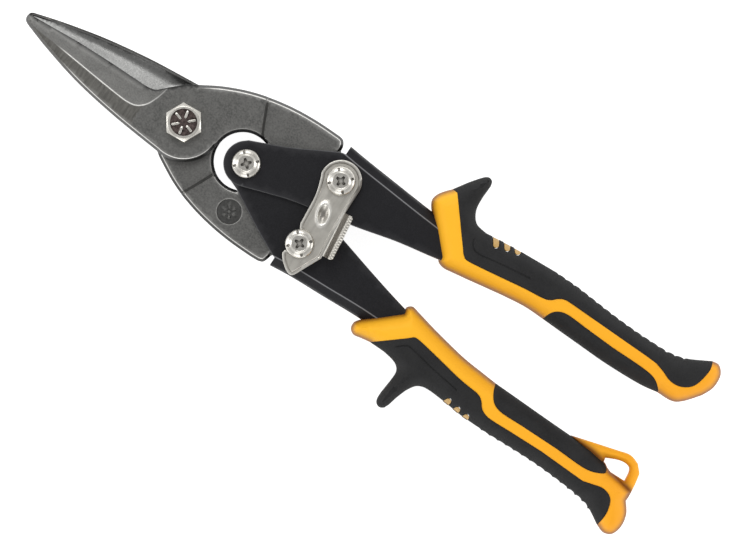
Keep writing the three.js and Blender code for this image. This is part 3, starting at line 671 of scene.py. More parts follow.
REAR_END = chain(run([47.4, -19.4], [52, -18.6]), arc(LOWER_LINK, BOSS_R, -50, 130), run([47.6, -7]))
REAR_WINDOW = arc(WINDOW_CENTRE, WINDOW_R, -70, -183)
REAR_HUB = arc(MAIN_PIVOT, HUB_R, 3, 98)
REAR_SPINE = chain(
    spline([-2.5, 12.75], [-20, 11.2], [-36, 8.8], [-50, 5.7], [-59.2, 3.15]),
    spline([-59.2, 3.15], [-60.2, 2.8], [-60.9, 2.2], [-61.1, 1.5]),
)


FRONT_BANDED = [FRONT_SPINE, FRONT_HUB, FRONT_BACK, FRONT_WINDOW]
REAR_BANDED = [REAR_SPINE, REAR_HUB, REAR_BACK, REAR_WINDOW]


def past_crease(points, crease):
    """How far each point lies past the line where the blade steps to its tang."""
    point, angle = crease
    return (points - point) @ heading(angle)


def crease_line(crease, shift, half=16):
    point, angle = crease
    middle = point + shift * heading(angle)
    across = half * heading(angle + 90)
    return finer(run(middle - across, middle + across), 0.8, closed=False)


def flipped(crease):
    """The same crease on a blade that is mirrored in the X axis."""
    return crease[0] * FLIP, -crease[1]


def crease_shade(points, crease):
    """Painted shade in the step to the tang."""
    return CREASE_SHADE * bell(past_crease(points, crease) - JOGGLE / 2, 0.4)


def jaw_thickness(points):
    share = np.clip((points[:, 0] - TIP_X) / (TAPER_START_X - TIP_X), 0, 1)
    return TIP_TOP + (HUB_TOP - TIP_TOP) * share


def soft_reach(points, line, near=0.6):
    """Distance to a run, without the creases where two stretches of the run are equally far."""
    exact = to_lines(points, line)
    fine = finer(line, 0.25, closed=False)
    weight = np.linalg.norm(np.gradient(fine, axis=0), axis=1)
    pull = sum(w / (((points - p) ** 2).sum(1) + 1e-3) ** 2 for w, p in zip(weight, fine))
    return exact + (np.cbrt(math.pi / 2 / pull) - exact) * ease((exact - near) / near)


def beyond_ridge(points):
    """Distance past the ridge, on the side of the cutting edge, and 0 on the other side."""
    far_side = np.vstack([RIDGE, run([-10.4, 20], [-63, 20])])
    return np.where(inside(points, far_side), soft_reach(points, RIDGE), 0)


def outer_level(points, crease, banded, softened):
    """Height of a blade's outer face. The rear blade's is mirrored before it comes here."""
    level = jaw_thickness(points)
    fall = BEVEL_SLOPE * beyond_ridge(points)
    level -= BEVEL_DEPTH * (1 - np.exp(-fall / BEVEL_DEPTH)) * (points[:, 0] < BEVEL_END_X)
    level -= (HUB_TOP - TANG_HALF) * ease(past_crease(points, crease) / JOGGLE)
    for edge in banded:
        level -= BAND_FALL / BAND * ramp(to_lines(points, edge), BAND, 0.06)
    for edge in softened:
        level -= fillet(to_lines(points, edge), EDGE_R)
    return level


def scoop(points):
    """How deep a jaw's inner face is hollow-ground. The front blade's is mirrored before it comes here."""
    cutting = np.interp(points[:, 0], CUTTING_X, CUTTING_Y)
    spine = np.interp(points[:, 0], SPINE_X, SPINE_Y)
    share = np.clip((points[:, 1] - cutting) / (spine - cutting), 0, 1)
    deeper = 0.3 + 0.7 * ease((points[:, 0] - TIP_X - 2) / 30)
    hollow = deeper * SCOOP_DEPTH * np.sin(math.pi * share**2.2)
    clear_of_pivot = ease((radii(points, MAIN_PIVOT) - CONTACT_R) / 2.5)
    return hollow * clear_of_pivot * ease((SCOOP_END_X - points[:, 0]) / 4)


def inner_level(points, crease):
    """Depth of a blade's inner face, from the other blade's: hollow-ground jaw, flat hub, then the tang."""
    step = ease(past_crease(points, crease) / JOGGLE)
    return BLADE_GAP + scoop(points) - step * (TANG_HALF + BLADE_GAP)


def above_inner(vertices, side):
    """How far each point of a blade stands above its inner face, towards the outer one."""
    return vertices[:, 2] * side - BLADE_GAP - scoop(vertices[:, :2] * (1, -side))


def band_shade(points, *edges):
    """Painted shade on the drafted band, which faces sideways."""
    return BAND_SHADE * ease((BAND - to_lines(points, *edges)) / 0.2)


def blade_shade(banded, cutting, crease, side):
    """Painted shade on the drafted band and along the step to the tang, and a painted shadow under the
    cutting edge.
    """
    def shade(vertices):
        points = vertices[:, :2]
        band = band_shade(points, *banded)
        outer = above_inner(vertices, side) > 0.5
        edge = EDGE_SHADE * ease((EDGE_SHADE_WIDTH - to_lines(points, cutting)) / 0.2)
        return np.maximum(np.maximum(band, crease_shade(points, crease)) * outer, edge)
    return shade


def at_window(vertices):
    """True near the window between the tangs, whose rim gets a fainter painted highlight than the others."""
    return radii(vertices[:, :2], WINDOW_CENTRE) < WINDOW_R + 2


def highlight_rim(points, *edges):
    """1 on the rim just inside the drafted band, where the painted highlight goes."""
    return bell(to_lines(points, *edges) - BAND - 0.05, 0.15)


def blade_wear(edges, side):
    """Painted highlight on the rim just inside the drafted band, and along the ridge."""
    def wear(vertices):
        x, y = vertices[:, :2].T
        ridge = bell(to_lines(vertices[:, :2] * (1, side), RIDGE), 0.15)
        fade = ease((x + 49) / 7) * (1 - 0.75 * ease((x - TAPER_START_X) / 4))
        rim = highlight_rim(vertices[:, :2], *edges)
        rim = rim * np.where(y * side > 0, ease((x + 2) / 6), ease((x + 45) / 9))
        rim = rim * np.where(at_window(vertices), 0.45, 1)
        return np.clip((rim + ridge * fade) * (above_inner(vertices, side) > 0.4), 0, 1)
    return wear


def blade_paint(side):
    """0 blasted, 1 ground outside the ridge, 2 painted shade on the window's wall, 3 hollow-ground inside
    the jaw.
    """
    def paint(centres):
        jaw = (centres[:, 0] < -2) & (radii(centres[:, :2]) > CONTACT_R)
        inner = jaw & (above_inner(centres, side) < 0.3)
        points = centres[:, :2] * (1, side)
        ground = (centres[:, 0] < TAPER_START_X) & (beyond_ridge(points) == 0) & (centres[:, 2] * side > 0)
        places = np.where(inner, 3, np.where(ground, 1, 0))
        return np.where(radii(centres[:, :2], WINDOW_CENTRE) < WINDOW_R + WINDOW_SHADE_REACH, 2, places)
    return paint


def edge_rings(edges, distances):
    return [(edge, False, distances) for edge in edges]


BAND_RINGS = [0.3, 0.6, 0.8, 0.9, 0.97, 1.05, 1.2]
LINK_HOLE = circle(UPPER_LINK, PIN_HOLE_R, 0.3)
LOWER_HOLE = circle(LOWER_LINK, SHANK_R + 4 * RUNNING_GAP, 0.3)
BOLT_HOLE = circle(MAIN_PIVOT, BOLT_HOLE_R, 0.4)


def blade(name, side, outlines, banded, softened, crease, top, bottom, rings, keep=None, **marks):
    """A forged blade. side is 1 for the front one and -1 for the rear one."""
    ridge = RIDGE * (1, side)
    steps = [crease_line(crease, 0), crease_line(crease, JOGGLE)]
    solid = slab(
        outlines, top, bottom, keep=keep,
        rings=[
            *edge_rings(banded, BAND_RINGS),
            *edge_rings(softened, round_rings(EDGE_R, 3)),
            (ridge, False, [0.12, 0.3, 0.7]),
            *rings,
            *edge_rings(steps, [0.2, 0.45]),
        ],
        creases=[ridge[ridge[:, 0] > -61], *steps], grid=1.1,
    )
    return piece(
        f"{name}_blade_forging", solid, [BLASTED, GROUND, WINDOW_WALL_SHADE, HOLLOW], f"{name}_blade", f"{name}_jaw",
        "blade_steel", paint=blade_paint(side), **marks,
    )


def front_blade():
    outline = loop(
        FRONT_SPINE, FRONT_HUB, FRONT_WINDOW, FRONT_END, FRONT_BACK, FRONT_THROAT, FRONT_EDGE, step=0.45,
    )
    softened = [FRONT_EDGE, FRONT_THROAT]
    boss = circle(UPPER_LINK, BOSS_R - 0.4)

    def on_boss(points):
        return radii(points, UPPER_LINK) < BOSS_R - 0.39

    def top(points):
        level = outer_level(points, FRONT_CREASE, FRONT_BANDED, softened)
        return np.where(on_boss(points), BOSS_HALF, level)

    def bottom(points):
        level = inner_level(points * FLIP, flipped(FRONT_CREASE))
        return np.where(on_boss(points), -BOSS_HALF, level)

    return blade(
        "front", 1, [outline, BOLT_HOLE, LINK_HOLE, boss], FRONT_BANDED, softened, FRONT_CREASE, top, bottom,
        [(boss, True, [0.05])], keep=within(outline, BOLT_HOLE, LINK_HOLE), wear=blade_wear(FRONT_BANDED, 1),
        shade=blade_shade(FRONT_BANDED[:3], chain(FRONT_THROAT, FRONT_EDGE), FRONT_CREASE, 1),
    )


BADGE_CENTRE = np.array([27.8, -15.9])
BADGE_R = 4.1
BADGE_DEPTH = 0.45
DOT_PITCH_R = 1.75
DOT_R = 0.62
BACK_BAND_SHARE = 0.55  # how much shallower the drafted band is on the rear blade's inner side
SPINE_SLOPE = 0.8
SPINE_CHAMFER = 0.8


def badge_fall(points):
    """A round recess with a dotted floor."""
    fall = BADGE_DEPTH * ease((BADGE_R - radii(points, BADGE_CENTRE)) / 0.25)
    for dot in [np.zeros(2), *[DOT_PITCH_R * heading(60 * i) for i in range(6)]]:
        fall -= BADGE_DEPTH * 0.75 * ease((DOT_R - radii(points, BADGE_CENTRE + dot)) / 0.25)
    return fall


def rear_blade():
    outline = loop(
        REAR_EDGE, REAR_THROAT, REAR_BACK, REAR_END, REAR_WINDOW, REAR_HUB, REAR_SPINE, step=0.45,
    )
    softened = [REAR_EDGE, REAR_THROAT]

    def top(points):
        level = -inner_level(points, REAR_CREASE)
        for edge in (REAR_BACK, REAR_WINDOW):
            level -= BACK_BAND_SHARE * BAND_FALL / BAND * ramp(to_lines(points, edge), BAND, 0.06)
        level -= SPINE_SLOPE * ramp(to_lines(points, REAR_SPINE), SPINE_CHAMFER, 0.12)
        return level - badge_fall(points)

    def bottom(points):
        sets = ([edge * FLIP for edge in edges] for edges in (REAR_BANDED, softened))
        return -outer_level(points * FLIP, flipped(REAR_CREASE), *sets)

    badge_rings = [
        (circle(BADGE_CENTRE, BADGE_R), True, [0.0, 0.12, 0.27, 0.5]),
        (circle(BADGE_CENTRE, DOT_PITCH_R, 0.25), True, [0.0, 0.25, 0.5, 0.75]),
        (circle(BADGE_CENTRE, 0.45, 0.2), True, [0.0, 0.2]),
    ]
    return blade(
        "rear", -1, [outline, BOLT_HOLE, LOWER_HOLE], REAR_BANDED, softened, REAR_CREASE, top, bottom,
        badge_rings, wear=rear_wear, shade=rear_shade,
    )


# Painted highlight on the outer face's rims, the inner face's back and window rims, and round the badge.
def rear_wear(vertices):
    outer = blade_wear(REAR_BANDED, -1)(vertices)
    points = vertices[:, :2]
    rim = highlight_rim(points, REAR_BACK, REAR_WINDOW) * np.where(at_window(vertices), 0.6, 1)
    ring = 0.35 * bell(radii(points, BADGE_CENTRE) - BADGE_R, 0.2)
    return outer + (rim + ring) * (vertices[:, 2] > -0.5)


def rear_shade(vertices):
    outer = blade_shade(REAR_BANDED[:3], chain(REAR_EDGE, REAR_THROAT), REAR_CREASE, -1)(vertices)
    points = vertices[:, :2]
    back = band_shade(points, REAR_BACK)
    spine = 0.45 * ease((0.7 - to_lines(points, REAR_SPINE)) / 0.4)
    floor = 0.6 * np.clip(badge_fall(points) / BADGE_DEPTH, 0, 1)
    front = vertices[:, 2] > -3.6
    return np.maximum(outer, np.max([back, spine, crease_shade(points, REAR_CREASE), floor], 0) * front)


# ---- folded handles ----

CHAMFER = 3.2  # the fold starts this far in from the handle's outer edge
CHAMFER_SLOPE = 0.55
FOLD_R = 1.2
RIM_R = 0.35
UPPER_INNER_EDGE = spline(
    [27.4, -6.7], [36, -3.9], [44, -1.6], [63, 2.1], [78, 5.7], [92, 8.2],
    [110, 12], [130, 13.6], [160, 14], step=0.7,
)
UPPER_OUTER_EDGE = spline(
    [49, 23.1], [56, 22.3], [68, 21.2], [82, 20], [96, 19.2], [110, 19.8], [130, 21.3], [160, 20.8],
    step=0.7,
)
LOWER_INNER_EDGE = spline(
    [64, -3.4], [78, -7.3], [91, -10.6], [110, -14.8], [130, -17.5], [160, -18.6], step=0.7,
)
LOWER_OUTER_EDGE = spline(
    [48.1, -23.1], [56, -22.4], [68, -22], [82, -21.5], [96, -22], [110, -23.8], [130, -26], [160, -26.2],
    step=0.7,
)
UPPER_NOSE = spline([49, 20.1], [46.6, 19.4], [40, 15.9], [32, 11.7], [20.5, 6.7])
LOWER_NOSE = spline([26, -8.6], [32, -12], [40, -16.4], [46.7, -19.7])


def channel(outline, web_edge, rim, outside, pivots):
    """A channel folded from sheet at its web edge. rim is the other edge of its two cheeks."""
    back = web_edge[0] - web_edge[3]
    web_line = np.vstack([[web_edge[0] + back / np.linalg.norm(back) * 9], web_edge])
    cheek_inside = outside - SHEET

    def top(points):
        away = to_lines(points, web_line)
        fall = CHAMFER_SLOPE * ramp(away, CHAMFER, 0.09) + fillet(away, FOLD_R)
        return outside - fall - fillet(to_lines(points, rim), RIM_R)

    def bottom(points):
        away = to_lines(points, web_line)
        level = cheek_inside - fillet(away - SHEET, 1.0)
        return np.where(away < SHEET + 0.02, 0, np.maximum(level, 0.05))

    wall = offset(web_edge, SHEET * np.sign(web_edge[0][1]), closed=False)
    past_wall = wall + (wall - web_edge) / SHEET * 0.05
    holes = [circle(centre, PIN_HOLE_R, 0.35) for centre in pivots]
    half = slab(
        [outline, *holes], top, bottom,
        rings=[
            (web_edge, False, [*round_rings(FOLD_R), 2.0, 2.9, 3.1, 3.2, 3.3, 3.5]),
            (rim, False, round_rings(RIM_R, 4)),
        ],
        creases=[wall, past_wall], grid=2.2,
    )
    return mirrored_halves(*half)


def handle(name, outline, web_edge, rim, outside, link):
    """A painted handle, with a painted highlight along the fold line and, fainter, on the cheeks' rims."""
    def wear(vertices):
        fold = bell(to_lines(vertices[:, :2], web_edge) - CHAMFER, 0.13)
        cheek_rim_highlight = 0.35 * bell(to_lines(vertices[:, :2], rim), 0.25)
        return np.clip(fold + cheek_rim_highlight, 0, 1) * (abs(vertices[:, 2]) > 2.5)

    return piece(
        f"{name}_handle_channel", channel(outline, web_edge, rim, outside, [FULCRUM, link]), [PAINT],
        f"{name}_handle", f"{name}_arm", "handle_paint", wear=wear,
    )


def upper_handle():
    nose = arc(FULCRUM, NOSE_R, 125, 285)
    outline = loop(nose, UPPER_INNER_EDGE, UPPER_OUTER_EDGE[::-1], UPPER_NOSE)
    rim = chain(UPPER_NOSE, nose, UPPER_INNER_EDGE)
    return handle("upper", outline, UPPER_OUTER_EDGE, rim, UPPER_OUTSIDE, UPPER_LINK)


def lower_handle():
    nose = arc(FULCRUM, NOSE_R, 65, 235)
    outline = loop(nose, LOWER_NOSE, run([48.1, -20.2]), LOWER_OUTER_EDGE, LOWER_INNER_EDGE[::-1])
    rim = chain(LOWER_INNER_EDGE[::-1], nose, LOWER_NOSE)
    return handle("lower", outline, LOWER_OUTER_EDGE, rim, LOWER_OUTSIDE, LOWER_LINK)


# ---- fasteners ----

SCREW_HEAD_R = 4.7
SCREW_HEAD_H = 2.2
SCREW_FACE_R = 2.95  # radius of the low rim round the head's dished middle
CROSS_ARM = 1.8
CROSS_HALF_WIDTH = 0.36
CROSS_HEART = 0.62
CROSS_TAPER = 0.2
CROSS_DEPTH = 1.4
TICK_ANGLE = 43
TICK_START_R = 3.15
TICK_END_R = 4.3
TICK_HALF_WIDTH = 0.42
TICK_DEPTH = 0.45


def cross_outline(centre, angle):
    """The outline of a cross recess, anticlockwise."""
    corners = []
    for quarter in range(4):
        along = heading(angle + 90 * quarter)
        across = np.array([-along[1], along[0]])
        tip = along * CROSS_ARM
        side = across * CROSS_HALF_WIDTH
        corners += [tip - side, tip + side, (along + across) * CROSS_HEART]
    return finer(np.array(corners) + centre, 0.25)


def ticks(away):
    """1 on the four short notches at the rim of a screw's head, and 0 off them."""
    share = np.zeros(len(away))
    for quarter in range(4):
        along, across = (away @ turned(TICK_ANGLE + 90 * quarter).T).T
        share = np.maximum(share, (along > 0) * ease((TICK_HALF_WIDTH - abs(across)) / 0.22))
    return share * ease((radii(away) - TICK_START_R) / 0.3) * ease((TICK_END_R - radii(away)) / 0.3)


def pan_screw(name, cad_node, body, centre, angle):
    """A cross-recessed pan-head screw with its shank."""
    end, head_top = levels(cad_node)
    under = head_top - SCREW_HEAD_H
    outline, shank, neck = (circle(centre, r, 0.35) for r in (SCREW_HEAD_R, SHANK_R, SHANK_R + 0.03))
    cross = cross_outline(centre, angle)
    notches = [
        finer(centre + run((3.1, side), (4.35, side)) @ turned(TICK_ANGLE + 90 * i), 0.3, closed=False)
        for i in range(4) for side in (-0.4, -0.2, 0, 0.2, 0.4)
    ]

    def recess(points):
        return np.clip(signed(points, cross) / CROSS_TAPER, 0, 1)

    def top(points):
        away = points - centre
        radius = radii(away)
        cone = 0.2 + 0.75 * np.clip((radius - SCREW_FACE_R) / (SCREW_HEAD_R - SCREW_FACE_R), 0, 1) ** 1.5
        rim = 0.2 * bell(radius - SCREW_FACE_R, 0.22)
        dish = 0.12 * ease((SCREW_FACE_R - 0.1 - radius) / 0.4)
        fall = cone - rim + dish + fillet(SCREW_HEAD_R - radius, 0.6)
        return head_top - fall - TICK_DEPTH * ticks(away) - CROSS_DEPTH * recess(points)

    def bottom(points):
        radius = radii(points, centre)
        tip = end + fillet(SHANK_R - radius, 0.3)
        return np.where(radius < SHANK_R + 0.01, tip, under)

    def shade(vertices):
        away = vertices[:, :2] - centre
        radius = radii(away)
        face = 0.22 * ease((SCREW_FACE_R - 0.1 - radius) / 0.3)
        dark = recess(vertices[:, :2]) * (0.95 - 0.95 * bell(radius, 0.75))
        foot = 0.25 * bell(radius - SCREW_FACE_R - 0.35, 0.2)
        return np.max([face, dark, foot, 0.8 * ticks(away)], 0) * (vertices[:, 2] > under + 0.1)

    solid = slab(
        [outline, shank, neck, cross], top, bottom, keep=within(outline),
        rings=[
            (outline, True, round_rings(0.6)),
            (circle(centre, SCREW_FACE_R, 0.3), True, [0.0, 0.12, 0.25, 0.42]),
            (circle(centre, 3.8, 0.3), True, [0.0, 0.25]),
            (shank, True, [0.05, 0.15, 0.3]),
            (cross, True, [0.07, 0.14, 0.2]),
            *[(notch, False, [0.0]) for notch in notches],
        ],
        grid=0.4,
    )
    return piece(name, solid, [NICKEL], cad_node, body, "bright_nickel", sharp=42, shade=shade)


LOCK_NUT_FLATS = 8
LOCK_NUT_COLLAR = 0.8
HEX_CHAMFER = 0.55
HEX_TURN = 4


def hexagon(centre, flats, step=0.5):
    corners = [centre + flats / math.sqrt(3) * heading(HEX_TURN + 60 * i) for i in range(6)]
    return finer(np.array(corners), step)


def turned_corners(radius, flats):
    """How far a hexagon's corners are turned down outside the circle within its flats."""
    return HEX_CHAMFER * ramp(-radius, -(flats / 2 - 0.35), 0.06) * 1.1


def nut(name, cad_node, body, centre, flats, bore, collar=0.0):
    """A hexagon nut. A lock nut has a round collar at its far end."""
    end, seat = levels(cad_node)
    outline = hexagon(centre, flats)
    hole = circle(centre, bore, 0.35)
    collar_r = flats / 2 - 0.5
    collar_edges = [circle(centre, collar_r, 0.4), circle(centre, collar_r + 0.03, 0.4)] if collar else []

    def top(points):
        radius = radii(points, centre)
        return seat - 0.3 * ramp(-radius, -(flats / 2 - 0.2), 0.05)

    def bottom(points):
        radius = radii(points, centre)
        face = end + collar + turned_corners(radius, flats)
        if collar:
            rounded = end + fillet(collar_r - radius, 0.45) + 0.5 * fillet(radius - bore, 0.4)
            return np.where(radius < collar_r + 0.01, np.minimum(rounded, face), face)
        return face + 0.6 * fillet(radius - bore, 0.5)

    solid = slab(
        [outline, hole, *collar_edges], top, bottom, keep=within(outline, hole),
        rings=[
            (hole, True, [0.1, 0.25, 0.45]),
            (circle(centre, flats / 2 - 0.3, 0.4), True, [0.0, 0.12, 0.3]),
            *[(edge, True, [0.1, 0.25, 0.45]) for edge in collar_edges[:1]],
        ],
        grid=0.8,
    )
    return piece(name, solid, [NICKEL], cad_node, body, "bright_nickel", sharp=32)


BOLT_DISH_R = 4.4
BOLT_DISH = 0.6
BOLT_FLATS = 11
BOLT_BAR_ANGLE = -17
BOLT_BAR_HALF_WIDTH = 0.4
BOLT_BAR_START_R = 1.75
BOLT_BAR_END_R = 3.6
BOLT_BAR_RIM = 0.15


def bolt_bar(angle, floor, top_level):
    """One raised bar in the dish, as a solid of its own that runs into the head."""
    start, end = (heading(angle) * radius for radius in (BOLT_BAR_START_R, BOLT_BAR_END_R))
    outline = slot(*start, *end, BOLT_BAR_HALF_WIDTH)

    def top(points):
        return top_level - fillet(reach(points, outline), BOLT_BAR_RIM)

    rings = [(outline, True, round_rings(BOLT_BAR_RIM, 3))]
    return slab([outline], top, lambda points: np.full(len(points), floor - 0.3), rings=rings, grid=0.5)


def pivot_bolt():
    """The hexagon bolt, with a dished head and six raised bars."""
    end, head_top = levels("pivot_bolt")
    under = HUB_TOP + 0.1
    floor = head_top - BOLT_DISH
    outline = hexagon(MAIN_PIVOT, BOLT_FLATS, 0.4)
    shank = circle(MAIN_PIVOT, BOLT_R, 0.4)
    neck = circle(MAIN_PIVOT, BOLT_R + 0.03, 0.4)
    dish = circle(MAIN_PIVOT, BOLT_DISH_R, 0.3)

    def top(points):
        radius = radii(points)
        fall = turned_corners(radius, BOLT_FLATS) + 0.4 * fillet(5.35 - radius, 0.2)
        return head_top - fall - BOLT_DISH * ease((BOLT_DISH_R - radius) / 0.25)

    def bottom(points):
        radius = radii(points)
        tip = end + fillet(BOLT_R - radius, 0.5)
        return np.where(radius < BOLT_R + 0.01, tip, under)

    def paint(centres):
        radius = radii(centres[:, :2])
        in_dish = (radius < BOLT_DISH_R - 0.1) & (centres[:, 2] > under + 0.5)
        return np.where(in_dish & (centres[:, 2] < floor + 0.12), 1, 0)

    head = slab(
        [outline, shank, neck], top, bottom, keep=within(outline),
        rings=[
            (dish, True, [0.0, 0.1, 0.18, 0.26]),
            (circle(MAIN_PIVOT, 5.2, 0.35), True, [0.0, 0.1, 0.2]),
            (shank, True, [0.1, 0.3, 0.5]),
        ],
        grid=0.6,
    )
    bars = [bolt_bar(BOLT_BAR_ANGLE + 60 * i, floor, head_top - 0.1) for i in range(6)]
    return piece(
        "pivot_bolt_forged", joined(head, *bars), [NICKEL, GRANULAR], "pivot_bolt", "front_jaw",
        "bright_nickel", paint=paint,
    )


WASHER_EDGE = 0.18


def washer(name, cad_node, body, centre, bore):
    """A flat ring with softened edges."""
    low, high = levels(cad_node)
    outer_r = (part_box(cad_node)[1].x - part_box(cad_node)[0].x) / MM / 2
    outline = circle(centre, outer_r, 0.4)
    hole = circle(centre, bore, 0.35)

    def edge(points):
        return fillet(np.minimum(reach(points, outline), reach(points, hole)), WASHER_EDGE)

    solid = slab(
        [outline, hole], lambda p: high - edge(p), lambda p: low + edge(p),
        rings=[(rim, True, round_rings(WASHER_EDGE, 3)) for rim in (outline, hole)], grid=1.2,
    )
    return piece(name, solid, [NICKEL], cad_node, body, "bright_nickel")


# ---- return spring ----

WIRE_R = 0.55
COIL_R = 5.1
COIL_TURNS = 2.5
COIL_PITCH = 1.3
LEG_END = (44, 5.4)


def bent(points, radius=1.0, step=0.35):
    """A run in space with its corners rounded."""
    made = [points[0]]
    for before, corner, after in zip(points, points[1:], points[2:]):
        back = (before - corner) / np.linalg.norm(before - corner)
        ahead = (after - corner) / np.linalg.norm(after - corner)
        reach_back = min(radius, np.linalg.norm(before - corner) / 2, np.linalg.norm(after - corner) / 2)
        for t in np.linspace(0, 1, 6):
            made.append(corner + reach_back * ((1 - t) ** 2 * back + t**2 * ahead))
    made.append(points[-1])
    fine = [made[0]]
    for p in made[1:]:
        count = max(1, math.ceil(np.linalg.norm(p - fine[-1]) / step))
        start = fine[-1]
        fine += [start + (p - start) * (i + 1) / count for i in range(count)]
    return np.array(fine)


def spring_leg(side, rise, cheek):
    """From the coil's side out to the cheek, where the end is bent back into its hole."""
    x, y = LEG_END
    return bent(np.array([
        [FULCRUM[0], side * COIL_R, rise], [FULCRUM[0] + 6, side * (COIL_R + 0.1), rise],
        [x, side * y, rise], [x, side * y, -cheek],
    ]))


def spring_path():
    """In over the top of the coil, round it, and out under it."""
    rise = COIL_TURNS * COIL_PITCH / 2
    upper = spring_leg(1, rise, UPPER_OUTSIDE - 0.3)[::-1]
    lower = spring_leg(-1, -rise, LOWER_OUTSIDE - 0.2)
    turns = np.linspace(0, 1, 150)[1:-1]
    angle = math.pi / 2 + 2 * math.pi * COIL_TURNS * turns
    coil = np.column_stack([
        FULCRUM[0] + COIL_R * np.cos(angle), COIL_R * np.sin(angle), rise - 2 * rise * turns,
    ])
    return np.vstack([upper, coil, lower])


def tube(path, radius, sides=12):
    """A round wire along a path, with closed ends."""
    ahead = np.gradient(path, axis=0)
    ahead /= np.linalg.norm(ahead, axis=1)[:, None]
    side = np.cross(ahead[0], (0.3, 0.5, 0.81))
    vertices = []
    for point, way in zip(path, ahead):
        side = side - way * (side @ way)
        side /= np.linalg.norm(side)
        other = np.cross(way, side)
        for i in range(sides):
            angle = 2 * math.pi * i / sides
            vertices.append(point + radius * (math.cos(angle) * side + math.sin(angle) * other))
    return np.array(vertices), skin(len(path), sides)


def return_spring():
    """The spring's wire along its path, in place of the CAD spring, which is hidden."""
    made = shaped("return_spring_wire", tube(spring_path(), WIRE_R), [WIRE], 50)
    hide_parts("return_spring")
    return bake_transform(made)


# ---- latch ----

LATCH_LOW, TAB_TOP = levels("latch")
LATCH_T = 1.5
LATCH_TOP = LATCH_LOW + LATCH_T
LATCH_RIM = 0.85
LATCH_EDGE = 0.3
TAB_ROOT = (58.8, 4.1)
TAB_LENGTH = 15.5
TAB_LEAN = 7
DIMPLE = (np.array([53.6, -0.1]), 1.8, 3.2, 18)  # centre, half its width and length, and lean
DIMPLE_DEPTH = 0.8
DIMPLE_LIP = 0.3
TAB_RIB = 0.93


def dimple_fall(points):
    """An oval pressed dimple with a raised lip round it."""
    centre, half_width, half_length, lean = DIMPLE
    radius = radii((points - centre) @ turned(lean).T / (half_width, half_length))
    return DIMPLE_DEPTH * ease((1.05 - radius) / 0.8) - DIMPLE_LIP * bell(radius - 1.15, 0.22)


LATCH_OUTLINE = loop(
    arc(UPPER_LINK, 6.8, 0, 190),
    spline([46.3, 9.6], [48, 4], [48.7, -3], [49, -6.4]),
    run([49.8, -8], [51, -8.4]),
    spline([51, -8.4], [54.2, -8.9], [55.4, -11], [55.3, -13.6], [53, -15.3], [49.5, -16.2]),
    spline([49.3, -17.4], [50.6, -19.2], [53, -21.2], [55, -22], [56.4, -21.2], [58, -18], [60.8, -12.2]),
    spline([60.3, -9], [59.6, -2], [59.3, 4], [59.2, 12]),
    step=0.4,
)


def latch_plate():
    hole = circle(UPPER_LINK, PIN_HOLE_R, 0.35)
    centre, half_width, half_length, lean = DIMPLE
    oval = circle((0, 0), 1, 0.12) * (half_width, half_length) @ turned(lean) + centre

    def top(points):
        away = reach(points, LATCH_OUTLINE)
        inner = 0.3 * ease((away - LATCH_RIM) / 0.3)
        return LATCH_TOP - inner - fillet(away, LATCH_EDGE) - dimple_fall(points)

    def bottom(points):
        return LATCH_LOW + fillet(reach(points, LATCH_OUTLINE), 0.2)

    return slab(
        [LATCH_OUTLINE, hole], top, bottom,
        rings=[
            (LATCH_OUTLINE, True, [*round_rings(LATCH_EDGE, 4), 0.95, 1.05, 1.15, 1.3, 1.45]),
            (oval, True, [0.0, 0.25, 0.5, 0.8, 1.2]),
        ],
        grid=0.8,
    )


def latch_tab():
    """The thumb tab: a strip bent up from the plate's edge, with a ribbed lip."""
    spine = bent(np.array([[-0.45, 0, 0.9], [0.6, 0, 0.9], [2.3, 0, 5.1], [3.5, 0, 5.3]]), 0.9, 0.25)
    spine = spine[:, [0, 2]]
    normals = sideways(spine, closed=False)
    section = np.vstack([spine + normals * 0.5, (spine - normals * 0.5)[::-1]])
    stations = np.arange(0, TAB_LENGTH + 0.01, 0.155)
    vertices = []
    for station in stations:
        from_end = min(station, TAB_LENGTH - station)
        shrink = fillet(np.array([from_end]), 0.3)[0]
        rib = 0.035 * (math.cos(2 * math.pi * station / TAB_RIB) - 1) * min(1, from_end / 0.6)
        for x, z in section:
            on_lip = ease(np.array([(x - 2) / 0.4]))[0]
            corner = ease(np.array([(x - 2.6) / 0.9]))[0] * max(0, 0.6 - from_end)
            height = min(z + rib * on_lip * (z > 5.1), TAB_TOP - LATCH_LOW - 0.02)
            vertices.append([x - corner, -station, LATCH_LOW + height - shrink * 0.3])
    vertices = np.array(vertices)
    vertices[:, :2] = vertices[:, :2] @ turned(TAB_LEAN) + TAB_ROOT
    return vertices, skin(len(stations), len(section))


def across_tab(vertices):
    return (vertices[:, :2] - TAB_ROOT) @ turned(-TAB_LEAN)[:, 0]


